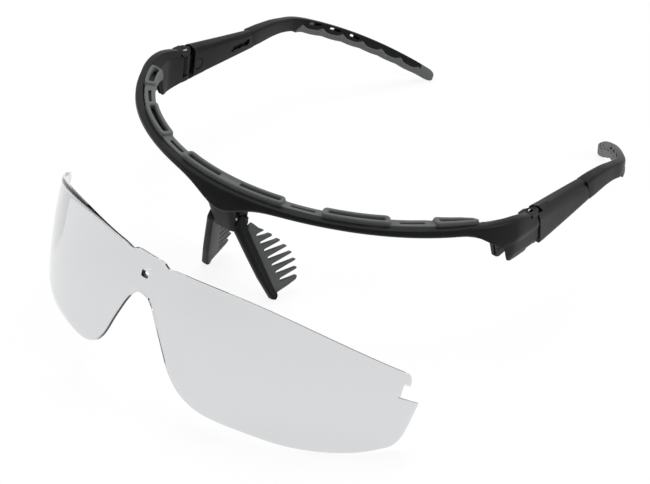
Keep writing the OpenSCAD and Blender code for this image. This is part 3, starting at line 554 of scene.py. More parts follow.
BLACK_PLASTIC = grained("black_satin_plastic", (0.0036, 0.0038, 0.0038), (0.0052, 0.0054, 0.0052),
                        (0.016, 0.016, 0.015), (0.34, 0.46), 0.22, 0.3)
BLACK_PLASTIC.node_tree.nodes["Principled BSDF"].inputs["Specular IOR Level"].default_value = 0.1


def finish(piece, material, body, slot, *replaced):
    """Gives the piece its one material and its body, and hides the drawn node it stands for. The slot is not
    used.
    """
    piece.data.materials.clear()
    piece.data.materials.append(material)
    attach(piece, body)
    if replaced:
        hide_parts(*replaced)
    return piece


finish(brow, BLACK_PLASTIC, "frame", "black_plastic", "brow_frame")


# Brow guard
# A soft grey rubber strip that keeps the brow off the plastic. It is moulded in one piece: low slotted
# strips, raised pads with a round rim about a slot, and a skirt over the bar's inner face.
GUARD_T, PAD_H, GUARD_LIP, GUARD_MID = 0.9, 1.4, 0.6, -2.8
PAD_HALF, STRIP_HALF = 2.0, 1.72
ARC_MM = math.radians(1) * (BROW_R + GUARD_MID)
TURN_MM = math.radians(1) * (TURN_R + GUARD_MID)


def heading_at(m):
    """The heading of a place m mm along the guard's middle line."""
    reach = abs(m)
    edge = BROW_HALF * ARC_MM
    a = reach / ARC_MM if reach <= edge else BROW_HALF + (reach - edge) / TURN_MM
    return math.copysign(a, m)


def run_mm(a):
    """The way along the guard's middle line to a heading."""
    m = abs(a)
    reach = m * ARC_MM if m <= BROW_HALF else BROW_HALF * ARC_MM + (m - BROW_HALF) * TURN_MM
    return math.copysign(reach, a)


def on_seat(m, n, h):
    """A point m mm along the guard, n mm out from the brow line and h mm above the bar's seat."""
    a = heading_at(m)
    return brow_point(a, n, bar_top(a) - lean_in(a, n) - GUARD_SEAT + 0.01 + h)


def racetrack(m0, m1, half, r, straight=28, arc=5):
    """A rounded rectangle about the guard's middle line, always with the same number of points."""
    mid, reach = (m0 + m1) / 2, (m1 - m0) / 2
    line = []
    for cx, cy, first in ((reach - r, half - r, 0), (-reach + r, half - r, 90),
                          (-reach + r, -half + r, 180), (reach - r, -half + r, 270)):
        for k in range(arc + 1):
            a = math.radians(first + 90 * k / arc)
            line.append((mid + cx + r * math.cos(a), GUARD_MID + cy + r * math.sin(a)))
        if first in (0, 180):
            x0, x1 = (reach - r, -reach + r) if first == 0 else (-reach + r, reach - r)
            y = half if first == 0 else -half
            line += [(mid + x0 + (x1 - x0) * k / straight, GUARD_MID + y) for k in range(1, straight)]
    return line


def frame_of_rubber(outer, inner, high, inner_low=0.0):
    """A closed rim between two racetracks, with a round top."""
    profile = ((0, 0), (0, 0.6), (0.05, 0.82), (0.16, 0.95), (0.34, 1.0),
               (0.62, 1.0), (0.84, 0.94), (0.95, 0.8), (1, 0.6), (1, inner_low))
    rings = []
    for (m0, n0), (m1, n1) in zip(outer, inner):
        rings.append([on_seat(m0 + (m1 - m0) * f, n0 + (n1 - n0) * f, high * h) for f, h in profile])
    return moulding("rim", rings, looped=True)


# Raised pads, each with a long slot, then the lower strips that join them.
parts = []
for a0, a1, slots in ((-15.6, 15.6, (-14.8, 14.8)), (25, 41.6, (26.2, 40.6)), (52.2, 67.3, (53.4, 66.3)),
                      (-41.6, -25, (-40.6, -26.2)), (-67.3, -52.2, (-66.3, -53.4))):
    m0, m1, s0, s1 = (run_mm(a) for a in (a0, a1, *slots))
    parts.append(frame_of_rubber(racetrack(m0, m1, PAD_HALF, 1.3), racetrack(s0 + 0.4, s1 - 0.4, 0.82, 0.5),
                                 GUARD_SEAT + PAD_H))
for a0, a1, s0, s1 in ((15.2, 25.6, 17.2, 23.4), (41, 52.8, 43.8, 50), (-25.6, -15.2, -23.4, -17.2),
                       (-52.8, -41, -50, -43.8), (66.6, 68.5, 67.4, 67.8), (-68.5, -66.6, -67.8, -67.4)):
    m0, m1, s0, s1 = (run_mm(a) for a in (a0, a1, s0, s1))
    parts.append(frame_of_rubber(racetrack(m0, m1, STRIP_HALF, 0.3), racetrack(s0, s1, 0.42, 0.08), GUARD_T))
BRIDGE_HALF_W, BRIDGE_H, BRIDGE_HALF = 1.3, 1.55, 3.7
bridge_profile = rounded([(-BRIDGE_HALF_W, 0.0), (-BRIDGE_HALF_W, BRIDGE_H), (BRIDGE_HALF_W, BRIDGE_H),
                          (BRIDGE_HALF_W, 0.0)], 0.3)
parts.append(moulding("bridge", [[on_seat(m, GUARD_MID + p.x, p.y) for p in bridge_profile]
                                 for m in run(-BRIDGE_HALF, BRIDGE_HALF, 0.6)]))
skirt_profile = rounded([(-BAR_BACK - GUARD_LIP, -GUARD_SKIRT), (-BAR_BACK, -GUARD_SKIRT), (-BAR_BACK, 0.4),
                         (-BAR_BACK - GUARD_LIP, 0.6)], 0.18)
parts.append(moulding("skirt", [[on_seat(m, p.x, p.y) for p in skirt_profile]
                                for m in run(run_mm(-GUARD_END), run_mm(GUARD_END), 1.2)]))
# The overlapping shapes are melted into one skin, as they are one moulding.
alone(*parts)
bpy.ops.object.join()
guard = bpy.context.object
guard.name = guard.data.name = "brow_cushion"
melt = guard.modifiers.new("one_moulding", "REMESH")
melt.mode = "VOXEL"
melt.voxel_size = 0.22 * MM
bpy.ops.object.modifier_apply(modifier=melt.name)
soften = guard.modifiers.new("soft_edges", "SMOOTH")
soften.factor, soften.iterations = 0.5, 3
bpy.ops.object.modifier_apply(modifier=soften.name)
bpy.ops.object.shade_smooth()
GREY_RUBBER = grained("grey_soft_rubber", (0.062, 0.066, 0.065), (0.088, 0.092, 0.090), (0.15, 0.155, 0.15),
                      (0.62, 0.8), 0.16, 0.3, dust=0.12)
finish(guard, GREY_RUBBER, "frame", "grey_rubber", "brow_guard")


# Nose housing and pins
# A small black moulding glued under the middle of the bar. The lens clips over the nub on its slanted
# front, and the two nose arms turn in its pockets on short steel pins.
HOUSING_HALF, SEAT_LEAN, SEAT_TOP, SEAT_STEP = 3.9, 0.36, -6.5, 0.15
NOSE_PIN_X, NOSE_PIN_Z, NOSE_PIN_R, EYE_R, POCKET_Y, POCKET_D = 2.7, -10.0, 0.6, 1.3, 3.0, 2.4
CLIP_Z, NUB_W, NUB_H, NUB_OUT = -4.3, 1.8, 1.3, 1.2


def housing_front(z):
    """How far back the housing's slanted front face lies, at a height."""
    return SEAT_Y - SEAT_LEAN * (z - SEAT_Z)


side = [(housing_front(HOUSING_TOP) + SEAT_STEP, HOUSING_TOP, 0.05),
        (housing_front(SEAT_TOP) + SEAT_STEP, SEAT_TOP, 0.1),
        (housing_front(SEAT_TOP), SEAT_TOP, 0.1), (housing_front(HOUSING_LOW), HOUSING_LOW, 0.45),
        (HOUSING_BACK, HOUSING_LOW, 0.8), (HOUSING_BACK, HOUSING_TOP, 0.05)]
profile = rounded(side, 0.3, steps=4)
centre = Vector((sum(p.x for p in profile) / len(profile), sum(p.y for p in profile) / len(profile)))
rings = []
for x, inset in ((-HOUSING_HALF, 0.35), (-3.82, 0.16), (-3.68, 0.05), (-3.45, 0),
                 (3.45, 0), (3.68, 0.05), (3.82, 0.16), (HOUSING_HALF, 0.35)):
    ring = []
    for p in profile:
        shrink = (p - centre).normalized() * inset if p.y < HOUSING_TOP - 0.4 else Vector((0, 0))
        ring.append((x, p.x - shrink.x, p.y - shrink.y))
    rings.append(ring)
housing = moulding("nose_piece_housing", rings)
nub = block("nub", (-NUB_W / 2, -NUB_OUT, -NUB_H / 2), (NUB_W / 2, 0.6, NUB_H / 2))
nub.data.transform(Matrix.Translation(-Vector(at(0, 0, 0))))
edges = nub.modifiers.new("round", "BEVEL")
edges.width, edges.segments = 0.25 * MM, 3
alone(nub)
bpy.ops.object.modifier_apply(modifier=edges.name)
lean = math.atan(SEAT_LEAN)
nub_z = CLIP_Z - LENS_LOWER
nub.data.transform(Matrix.Translation(at(0, housing_front(nub_z), nub_z)) @ Matrix.Rotation(lean, 4, "X"))
carve(housing, [nub], "UNION")
# Each nose arm turns in a pocket that is open below, on a pin whose bore is drilled from the front.
pockets = []
for s in (1, -1):
    xs = sorted([s * (NOSE_PIN_X - EYE_R - 0.3), s * (NOSE_PIN_X + 3)])
    pockets.append(block("pocket", (xs[0], POCKET_Y, HOUSING_LOW - 1),
                         (xs[1], POCKET_Y + POCKET_D, NOSE_PIN_Z + EYE_R + 0.4)))
    pockets.append(rod("pin_bore", (s * NOSE_PIN_X, POCKET_Y - 0.9, NOSE_PIN_Z), (0, 1, 0), NOSE_PIN_R,
                       POCKET_D + 1.6, 24))
carve(housing, pockets)
smoothed(housing)
finish(housing, BLACK_PLASTIC, "frame", "black_plastic", "nose_housing")


def brushed(name, colour):
    """Bright ground metal: fine lines along the pin change its tone and gloss a little."""
    material, nodes, links = nodes_of(name)
    surface = nodes["Principled BSDF"]
    surface.inputs["Metallic"].default_value = 1.0
    place, stretch = nodes.new("ShaderNodeTexCoord"), nodes.new("ShaderNodeMapping")
    lines = nodes.new("ShaderNodeTexNoise")
    stretch.inputs["Scale"].default_value = (9000, 9000, 500)
    lines.inputs["Scale"].default_value = 1.0
    tone = nodes.new("ShaderNodeMix")
    tone.data_type = "RGBA"
    tone.inputs["A"].default_value = (*[c * 0.8 for c in colour], 1)
    tone.inputs["B"].default_value = (*colour, 1)
    rough = nodes.new("ShaderNodeMapRange")
    rough.inputs["To Min"].default_value, rough.inputs["To Max"].default_value = 0.25, 0.42
    links.new(place.outputs["Object"], stretch.inputs["Vector"])
    links.new(stretch.outputs["Vector"], lines.inputs["Vector"])
    links.new(lines.outputs["Fac"], tone.inputs["Factor"])
    links.new(tone.outputs["Result"], surface.inputs["Base Color"])
    links.new(lines.outputs["Fac"], rough.inputs["Value"])
    links.new(rough.outputs["Result"], surface.inputs["Roughness"])
    return material


PIN_STEEL = brushed("ground_steel", (0.56, 0.56, 0.57))


def dress(node, material):
    """A CAD node that stays as it is takes a better finish."""
    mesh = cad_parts[node].data
    mesh.materials.clear()
    mesh.materials.append(material)


for node in ("nose_pin_left", "nose_pin_right"):
    dress(node, PIN_STEEL)


# Nose arms and comb pads
# Each arm is a springy black moulding with a round front rib and a channel behind it. The comb pad, a
# softer grey-green rubber with eight flat fingers, is moulded onto its inner face.
ARM_ROOT = Vector((5.4, 4.2, -10))
ARM_U = Vector((0.287, 0.321, -0.903)).normalized()
COMB_DIR = Vector((0.09, 0.93, 0.355))
ARM_V = (COMB_DIR - COMB_DIR.dot(ARM_U) * ARM_U).normalized()
ARM_N = ARM_U.cross(ARM_V)
ARM_T, COMB_T, COMB_V, CHANNEL_V, TOE_V, TOE_R = 2.4, 1.3, -0.9, -2.9, -2.2, 1.25
ARM_LEN = (37 + ARM_ROOT.z + TOE_V * ARM_V.z - ARM_T / 2 * ARM_N.z) / -ARM_U.z


def in_arm(u, v, n):
    """A place u mm down the arm, v mm back from its middle and n mm towards its inner face."""
    return ARM_ROOT + ARM_U * u + ARM_V * v + ARM_N * n


def between(points, x):
    """Straight lines through points."""
    for (x0, y0), (x1, y1) in zip(points, points[1:]):
        if x <= x1:
            return mix(y0, y1, (x - x0) / (x1 - x0))
    return points[-1][1]


ARM_FRONT = [(-3.7, -2.2), (-3.5, -2.7), (-3.1, -3.2), (-2.5, -3.6), (-1.8, -4.0), (-1.0, -4.75),
             (-0.2, -5.15), (3.2, -5.0), (10.2, -4.8), (18.9, -4.4), (ARM_LEN - 4.6, -3.8),
             (ARM_LEN - TOE_R, TOE_V - TOE_R)]
LOBE_U, LOBE_LEAN, CHANNEL_START, CHANNEL_END = -2.4, 0.45, 1.5, ARM_LEN - 2.1
CHANNEL_N, SOLID_N = 0.4, 1.15


def arm_front(u):
    return between(ARM_FRONT, u)


def arm_ring(u):
    """The arm's cross-section: a round front rib, and behind it a channel between start and end."""
    floor_n = CHANNEL_N if CHANNEL_START <= u <= CHANNEL_END else SOLID_N
    f, b, h = arm_front(u), COMB_V, ARM_T / 2
    if u > ARM_LEN - TOE_R:
        half = math.sqrt(max(0.02, TOE_R ** 2 - (u - ARM_LEN + TOE_R) ** 2))
        f, b = TOE_V - half, min(COMB_V, TOE_V + half)
    if u < LOBE_U:
        b -= LOBE_LEAN * (LOBE_U - u)
    wall = max(CHANNEL_V, (f + b) / 2)
    corners = [(f, -h, 0.7), (f, h, 0.9), (wall, h, 0.35), (wall + 0.05, floor_n, 0.15), (b, floor_n, 0.2),
               (b, -h, 0.2)]
    return [tuple(in_arm(u, p.x, p.y)) for p in rounded(corners, 0.3)]


arm_us = [-3.68, -3.5, -3.1, -2.6, -2.1, -1.6, -1.2, -0.6] + run(0, 1.3, 0.65) + [CHANNEL_START]
arm_us += run(2, ARM_LEN - 2.4, 1.0) + [ARM_LEN - 2.0]
arm_us += [ARM_LEN - TOE_R * (1 - math.sin(math.radians(a))) for a in range(0, 91, 12)] + [ARM_LEN]
nose_arm = moulding("nose_arm", [arm_ring(u) for u in arm_us])
eye = rod("eye", (NOSE_PIN_X, POCKET_Y + 0.2, NOSE_PIN_Z), (0, 1, 0), EYE_R, POCKET_D - 0.4)
neck = block("neck", (NOSE_PIN_X, POCKET_Y + 0.2, NOSE_PIN_Z - EYE_R),
             (5.0, POCKET_Y + POCKET_D - 0.2, NOSE_PIN_Z + EYE_R - 0.3))
carve(nose_arm, [eye, neck], "UNION")
carve(nose_arm, [
    rod("bore", (NOSE_PIN_X, POCKET_Y - 1, NOSE_PIN_Z), (0, 1, 0), NOSE_PIN_R + 0.05, POCKET_D + 2, 24),
    block("front_room", (0, -5, HOUSING_LOW - 0.2), (HOUSING_HALF + 0.35, POCKET_Y + 0.2, -1)),
    block("back_room", (0, POCKET_Y + POCKET_D - 0.2, HOUSING_LOW - 0.2), (HOUSING_HALF + 0.35, 11, -1)),
    block("swing_room", (0, -5, NOSE_PIN_Z + EYE_R), (HOUSING_HALF + 0.6, 11, -1))])
smoothed(nose_arm)
FINGER_FIRST, FINGER_PITCH, FINGERS, COMB_TOP, FINGER_LEAN = 6.5, 3.1, 8, 1.7, 0.3
REACH_MOST, REACH_U, GAP_HALF, GAP_WIDENS, GAP_TOP = 10.4, 22.6, 0.55, 0.75, 11.4
COMB_END = FINGER_FIRST + (FINGERS - 2) * FINGER_PITCH + 3.0


def finger_reach(u):
    """How far back the fingertips reach, u mm down the arm: most near the foot."""
    if u < REACH_U:
        return REACH_MOST - 6.5 * ((REACH_U - u) / 16.6) ** 1.75
    return REACH_MOST - 1.6 * ((u - REACH_U) / 5.3) ** 1.3


def finger_root(u):
    """How far back the gaps between the fingers begin."""
    return 1.4 + 1.4 * (u / 25) ** 2


def comb_outline():
    """The comb's outline in the arm's plane: slim fingers with round ends and round gaps."""
    def wall(i, side):
        """Where one wall of gap i meets the line of the fingertips."""
        gap = FINGER_FIRST + i * FINGER_PITCH
        root, u = finger_root(gap), gap
        for _ in range(8):
            reach = finger_reach(u)
            half = GAP_HALF + GAP_WIDENS * (reach - root) / (GAP_TOP - root)
            u = gap + side * half + FINGER_LEAN * (reach - root)
        return u, reach

    line = [(COMB_TOP, COMB_V), (COMB_TOP, 1.5)]
    for i in range(FINGERS):
        start = wall(i - 1, 1) if i else (5.4, 3.6)
        end = wall(i, -1) if i < FINGERS - 1 else (COMB_END + 0.9, 7.9)
        wide, high = end[0] - start[0], (start[1] + end[1]) / 2
        drop = wide / 2 if i and i < FINGERS - 1 else 0.35
        for a in range(0, 181, 30):
            share = (1 - math.cos(math.radians(a))) / 2
            sunk = drop * (1 - math.sin(math.radians(a)))
            line.append((mix(start[0], end[0], share), mix(start[1], end[1], share) - sunk))
        if i < FINGERS - 1:
            gap = FINGER_FIRST + i * FINGER_PITCH
            line += [(gap - GAP_HALF * math.cos(math.radians(a)),
                      finger_root(gap) - 0.5 * math.sin(math.radians(a))) for a in range(0, 181, 30)]
    return line + [(COMB_END + 0.6, 4.4), (COMB_END - 0.1, 0.2), (COMB_END - 0.2, COMB_V)]


def plate(name, line, thick, low, bevel):
    """A flat sheet cut to an outline and given a thickness and round edges, in its own plane."""
    outline = bpy.data.curves.new(name, "CURVE")
    outline.dimensions = "2D"
    outline.fill_mode = "BOTH"
    spline = outline.splines.new("POLY")
    spline.points.add(len(line) - 1)
    for point, (x, y) in zip(spline.points, line):
        point.co = (x, y, 0, 1)
    spline.use_cyclic_u = True
    outline.extrude = thick / 2 - bevel
    outline.bevel_depth, outline.bevel_resolution = bevel, 3
    outline.offset = -bevel
    piece = bpy.data.objects.new(name, outline)
    bpy.context.scene.collection.objects.link(piece)
    alone(piece)
    bpy.ops.object.convert(target="MESH")
    piece = bpy.context.object
    piece.data.transform(Matrix.Translation((0, 0, low + thick / 2)))
    return piece


# The flat pad is made in its own plane and then laid on the arm's inner face.
comb = plate("comb_pad", comb_outline(), COMB_T, -ARM_T / 2, 0.22)
for vertex in comb.data.vertices:
    vertex.co = at(*in_arm(*vertex.co))
alone(comb)
bpy.ops.object.mode_set(mode="EDIT")
bpy.ops.mesh.select_all(action="SELECT")
bpy.ops.mesh.remove_doubles(threshold=2e-6)
bpy.ops.mesh.normals_make_consistent(inside=False)
bpy.ops.object.mode_set(mode="OBJECT")
smoothed(comb, 50)
COMB_RUBBER = grained("comb_rubber_finish", (0.040, 0.045, 0.041), (0.056, 0.062, 0.057),
                      (0.09, 0.095, 0.088), (0.6, 0.78), 0.18, 0.3, dust=0.08)
arm_twin, comb_twin = flipped(nose_arm, "nose_arm_right_side"), flipped(comb, "comb_pad_right_side")
nose_arm.name, comb.name = "nose_arm_left_side", "comb_pad_left_side"
for side_name, arm_piece, comb_piece in (("left", nose_arm, comb), ("right", arm_twin, comb_twin)):
    body = "nose_arm_part_" + side_name
    finish(arm_piece, BLACK_PLASTIC, body, "black_plastic", "nose_arm_" + side_name)
    finish(comb_piece, COMB_RUBBER, body, "comb_rubber", "nose_pad_" + side_name)


# Lens
# One curved sheet of clear polycarbonate, moulded and hard-coated, with a clip hole in its centre tab and a
# hooked end each side. It is shown taken off: it stands on the table in front of the frame, leaning back.
TAB_HALF, TAB_RISE, PRONG, LIP_Z, CLIP_W, CLIP_H = 5.4, 0.8, 64.3, -7.5, 2.4, 2.0
LENS_REST, LENS_TURN = Vector((16.8, -53.8, 8.77)), (-27.7, 1.9, -0.8)


def lens_high(x):
    """The lens's upper edge: a flat tab in the middle, the wave over the eyes, and a hook each side."""
    m = abs(x)
    if m <= TAB_HALF - 1.1:
        return TAB_RISE
    if m <= TAB_HALF + 1.1:
        t = (m - TAB_HALF + 1.1) / 2.2
        return mix(TAB_RISE, -0.2, t * t * (3 - 2 * t))
    trim = [(6.5, -0.4), (9, 0), (61, -0.3), (63.6, -0.3), (64.0, -0.8), (PRONG, -1.9),
            (PRONG + 0.01, LIP_Z)]
    return gull(m) + between(trim, m) if m <= PRONG else LIP_Z


LENS_EDGE_R, LENS_ROWS = 0.35, 30


def lens_ring(x):
    """The sheet's upright section, up its front and down its rear, with round edges."""
    low, high = lens_low(x), lens_high(x)
    front, rear, edge = [], [], LENS_EDGE_R
    for k in range(LENS_ROWS + 1):
        t = k / LENS_ROWS
        z = mix(low, high, t)
        near = min(z - low, high - z, edge)
        round_in = edge - math.sqrt(max(0.0, edge ** 2 - (edge - near) ** 2))
        front.append((x, lens_surface(x, z) + round_in, z))
        rear.append((x, lens_surface(x, z) + LENS_T - round_in, z))
    return front + rear[::-1]


# The sheet has more columns at its ends, where the edge steps into the hook and the lip.
half_columns = run(0.8, 62.4, 0.8) + [62.9, 63.3, 63.6, 63.8, 64.0, 64.15, PRONG, PRONG + 0.02,
                                      64.8, 65.3, 65.7, 66.0, LENS_HALF]
columns = [-x for x in reversed(half_columns)] + [0] + half_columns
lens = moulding("clear_lens_sheet", [lens_ring(x) for x in columns])
hole = block("clip_hole", (-CLIP_W / 2, -5, -CLIP_H / 2), (CLIP_W / 2, 4, CLIP_H / 2))
hole.data.transform(Matrix.Translation(-Vector(at(0, 0, 0))))
alone(hole)
edges = hole.modifiers.new("round", "BEVEL")
edges.width, edges.segments = 0.45 * MM, 4
bpy.ops.object.modifier_apply(modifier=edges.name)
hole.data.transform(Matrix.Translation(at(0, lens_surface(0, CLIP_Z) + LENS_T, CLIP_Z))
                    @ Matrix.Rotation(lean, 4, "X"))
cutters = [hole]
# A notch above each end lip makes the hook that holds the lens in the lug.
for s in (1, -1):
    xs = sorted([s * 63.3, s * (PRONG + 0.1)])
    cutters.append(block("notch", (xs[0], 30, LIP_Z), (xs[1], 50, LIP_Z + 4)))
carve(lens, cutters)
stand = (Matrix.Translation(at(*LENS_REST)) @ Matrix.Rotation(math.radians(LENS_TURN[2]), 4, "Z")
         @ Matrix.Rotation(math.radians(LENS_TURN[0]), 4, "X")
         @ Matrix.Rotation(math.radians(LENS_TURN[1]), 4, "Y")
         @ Matrix.Translation(-Vector(at(0, 0, 0))))
lens.data.transform(stand)
smoothed(lens, 30)
POLYCARBONATE, nodes, links = nodes_of("clear_polycarbonate")
surface = nodes["Principled BSDF"]
surface.inputs["Base Color"].default_value = (0.675, 0.68, 0.69, 1)
surface.inputs["Transmission Weight"].default_value = 1.0
surface.inputs["IOR"].default_value = 1.25
place, grain = nodes.new("ShaderNodeTexCoord"), nodes.new("ShaderNodeGroup")
rough = nodes.new("ShaderNodeMapRange")
grain.node_tree = GRAIN
grain.inputs["Grain Scale"].default_value = 900
grain.inputs["Patch Scale"].default_value = 45
rough.inputs["To Min"].default_value, rough.inputs["To Max"].default_value = 0.0, 0.05
links.new(place.outputs["Object"], grain.inputs["Coordinates"])
links.new(grain.outputs["Patches"], rough.inputs["Value"])
links.new(rough.outputs["Result"], surface.inputs["Roughness"])
finish(lens, POLYCARBONATE, "lens_part", "clear_lens", "lens")


# Hinges
# A black hinge block turns on a steel pin pressed into the lug's ears; its tongue carries the sleeve on
# a second pin, so the temple can tilt. These true turned shapes are kept from the drawing.
for node in ("hinge_pin_left", "hinge_pin_right"):
    dress(node, PIN_STEEL)
for node in ("hinge_block_left", "hinge_block_right", "tilt_pin_left", "tilt_pin_right"):
    dress(node, BLACK_PLASTIC)


# Temple sleeves
# A tapered black tube from the hinge to a slanted back end. A slot down its inner wall shows the click
# holes of the length adjuster, and its outer face is bare and plain.
SLEEVE_FRONT, SLEEVE_END, SLEEVE_IN_END, SLEEVE_T = HINGE_Y + KNUCKLE_R + 0.9, 95.0, HINGE_X - 2.3, 4.2
SLIDE_X, SLIDE_Z, SLIDE_T, SLIDE_H, SLIDE_PLAY = SLEEVE_IN_END + SLEEVE_T / 2, -6.3, 2.3, 5.2, 0.1
TILT_Y, TILT_Z, CATCH_Y, CLICK, CLICKS = HINGE_Y + 5.4, -6.0, 83.9, 3.9, 2
TILT_MOST, TILT_REACH = math.radians(2), 7.6
SEAM_GAP = 0.3 + TILT_REACH * math.sin(TILT_MOST)
SLEEVE_TOP, SLEEVE_LOW, SLEEVE_LIP, TEMPLE_ROLL = 1.0, -12.2, 0.9, 0.14


def sleeve_ring(y, core):
    """The sleeve's cross-section. The cover leans back with the seam and rolls in; the core doesn't."""
    t = (y - SLEEVE_FRONT) / (SLEEVE_END - SLEEVE_FRONT)
    inn = mix(LUG_INNER + 0.05, SLEEVE_IN_END, t)
    out = FLAP_X - 0.2 if core else mix(LUG_OUTER, SLEEVE_IN_END + SLEEVE_T, t)
    top = mix(SLEEVE_TOP, SLIDE_Z + SLIDE_H / 2 + SLIDE_PLAY + SLEEVE_LIP, t)
    low = mix(SLEEVE_LOW, SLIDE_Z - SLIDE_H / 2 - SLIDE_PLAY - SLEEVE_LIP, t)
    keel = mix(0.45, 0.3, t)
    corners = [(inn, low + 2.2 * (1 - t), 0.6), (mix(inn, out, keel), low + 0.1, 0.5), (out - 0.5, low, 0.5),
               (out, low + 1.2, 0.9), (out, top - 2.6, 1.4), (out - 1.2, top, 1.0),
               (inn + 0.6, top - 0.9 * (1 - t), 0.5), (inn, top - 1.2 - 0.6 * (1 - t), 0.5)]
    lean_back, roll = (0, 0) if core else (SEAM_LEAN, TEMPLE_ROLL * t)
    return [(p.x - roll * (p.y - SLIDE_Z), y - lean_back * (p.y - SLIDE_Z), p.y)
            for p in rounded(corners, 0.4)]


# The cover carries the outer shape. The core fills it behind the hinge, and the rooms are cut from both.
cover_front = seam_y(SLIDE_Z) + SEAM_GAP
sleeve = moulding("temple_sleeve", [sleeve_ring(y, False) for y in run(cover_front, SLEEVE_END, 2.5)])
core = moulding("core", [sleeve_ring(y, True) for y in run(SLEEVE_FRONT, 72, 2.5)])
carve(core, [block("front_slice", (50, SLEEVE_FRONT + 6, -30), (90, 90, 30))])
carve(sleeve, [core], "UNION")
TONGUE_X, TONGUE_END = HINGE_X - 1.0, TILT_Y + 3.2
room_w, room_h = SLIDE_T / 2 + SLIDE_PLAY, SLIDE_H / 2 + SLIDE_PLAY
cutters = [block("lean_room", (60, 40, -30), (FLAP_X, SLEEVE_FRONT, 30)),
           block("tongue_room", (TONGUE_X - 0.15, SLEEVE_FRONT - 1, KNUCKLE_LOW - 0.3),
                 (TONGUE_X + 2.15, TONGUE_END + 0.5, KNUCKLE_TOP - 0.9)),
           block("slide_room", (SLIDE_X - room_w, TONGUE_END + 2.5, SLIDE_Z - room_h),
                 (SLIDE_X + room_w, 120, SLIDE_Z + room_h)),
           rod("pin_bore", (LUG_INNER - 1, TILT_Y, TILT_Z), (1, 0, 0), 1.0, HINGE_X + 2.9 - LUG_INNER),
           rod("head_bore", (LUG_INNER - 1, TILT_Y, TILT_Z), (1, 0, 0), 2.05, 1.85)]
CATCH_R, LAST_CATCH_R, SLOT_HALF = 1.15, 1.35, 0.85
for i in range(CLICKS + 1):
    cutters.append(rod("click_hole", (LUG_INNER - 1, CATCH_Y + i * CLICK, SLIDE_Z), (1, 0, 0),
                       LAST_CATCH_R if i == CLICKS else CATCH_R, 3, 28))
cutters.append(block("click_slot", (LUG_INNER - 1, CATCH_Y, SLIDE_Z - SLOT_HALF),
                     (LUG_INNER + 2, CATCH_Y + CLICKS * CLICK, SLIDE_Z + SLOT_HALF)))
carve(sleeve, cutters)
smoothed(sleeve)


# Temple arms and soft tips
# The black arm slides in the sleeve, then turns in and drops behind the ear. Grey rubber is moulded round
# its underside in soft teeth and makes up the whole of the tip.
SLIDE_FRONT, BEND_Y, BEND_R, DROP_Y, TIP_Y = 74.2, 117.0, 20.0, 106.0, 175.0
EAR_TURN, TIP_SOLE, DROP_POWER = 30.0, 1.25, 1.7
BODY_H, BODY_GAP = 6.9, 0.12
EAR_DROP = SLIDE_Z - TABLE_Z - TIP_SOLE
BEND_END = BEND_Y + BEND_R * math.sin(math.radians(EAR_TURN))
TOOTH_PITCH, TOOTH_H, TOOTH_FIRST, TEETH, GUM_H = 7.4, 1.6, 124.1, 7, 1.9
RUBBER_START, CORE_END = TOOTH_FIRST - 3, TOOTH_FIRST + TEETH * TOOTH_PITCH - 7


def arm_x(y):
    """The arm's middle line from above: straight, then a bend, then straight again towards the ear."""
    if y < BEND_Y:
        return SLIDE_X
    if y < BEND_END:
        return SLIDE_X - BEND_R + math.sqrt(BEND_R ** 2 - (y - BEND_Y) ** 2)
    a = math.radians(EAR_TURN)
    return SLIDE_X - BEND_R * (1 - math.cos(a)) - (y - BEND_END) * math.tan(a)


def arm_z(y):
    """The arm's middle line from the side: it drops ever faster, down to the table."""
    return SLIDE_Z - EAR_DROP * max(0.0, min(1.0, (y - DROP_Y) / (TIP_Y - DROP_Y))) ** DROP_POWER


def arm_h(y):
    return mix(BODY_H, 5.5, (y - 100) / 14) - mix(0, 0.5, (y - 150) / 25)


def arm_w(y):
    return mix(SLEEVE_T, 3.2, (y - 97) / 16)


def rubber_h(y):
    """The rubber's height on the arm's underside: an even gum line, with teeth that rise into the arm."""
    if y < TOOTH_FIRST:
        return mix(0.3, GUM_H + TOOTH_H, (y - RUBBER_START) / (TOOTH_FIRST - RUBBER_START))
    f = (y - TOOTH_FIRST) / TOOTH_PITCH
    f -= math.floor(f + 0.001)
    return GUM_H + TOOTH_H * abs(1 - 2 * f) ** 3 + 0.25 * f


def scallop(y):
    """How far the tip's underside swells between the teeth."""
    return 0.35 * abs(math.sin(math.pi * (y - TOOTH_FIRST) / TOOTH_PITCH))


def strap_ring(y, low, high, w, r, roll=TEMPLE_ROLL):
    """An upright section of the arm, w mm wide, from low to high about its middle line."""
    x, z = arm_x(y), arm_z(y)
    corners = [(-w / 2, low), (w / 2, low), (w / 2, high), (-w / 2, high)]
    r = min(r, (high - low) * 0.42, w * 0.42)
    return [(x + p.x - roll * p.y, y, z + p.y) for p in rounded(corners, r, steps=4)]


rubber_ys = run(RUBBER_START, CORE_END, 0.7)
front = SLEEVE_END + BODY_GAP
shoulder = []
for d, e in ((0, 0.12), (0.12, 0.03), (0.3, 0)):
    ring = strap_ring(front + d, -BODY_H / 2 + e, BODY_H / 2 - e, SLEEVE_T - 2 * e, 0.9)
    shoulder.append([(x, y - SEAM_LEAN * (z - SLIDE_Z), z) for x, y, z in ring])
bare_ys = run(99, RUBBER_START - 0.4, 1.3)
bare = [strap_ring(y, -arm_h(y) / 2, arm_h(y) / 2, arm_w(y), 0.9) for y in bare_ys]
gummed = [strap_ring(y, rubber_h(y) - arm_h(y) / 2, arm_h(y) / 2, arm_w(y), 0.8) for y in rubber_ys]
arm = moulding("temple_arm", shoulder + bare + gummed)
slide = [strap_ring(y, -SLIDE_H / 2 + e, SLIDE_H / 2 - e, SLIDE_T - 2 * e, 0.5, 0)
         for y, e in ((SLIDE_FRONT, 0.3), (SLIDE_FRONT + 0.6, 0))]
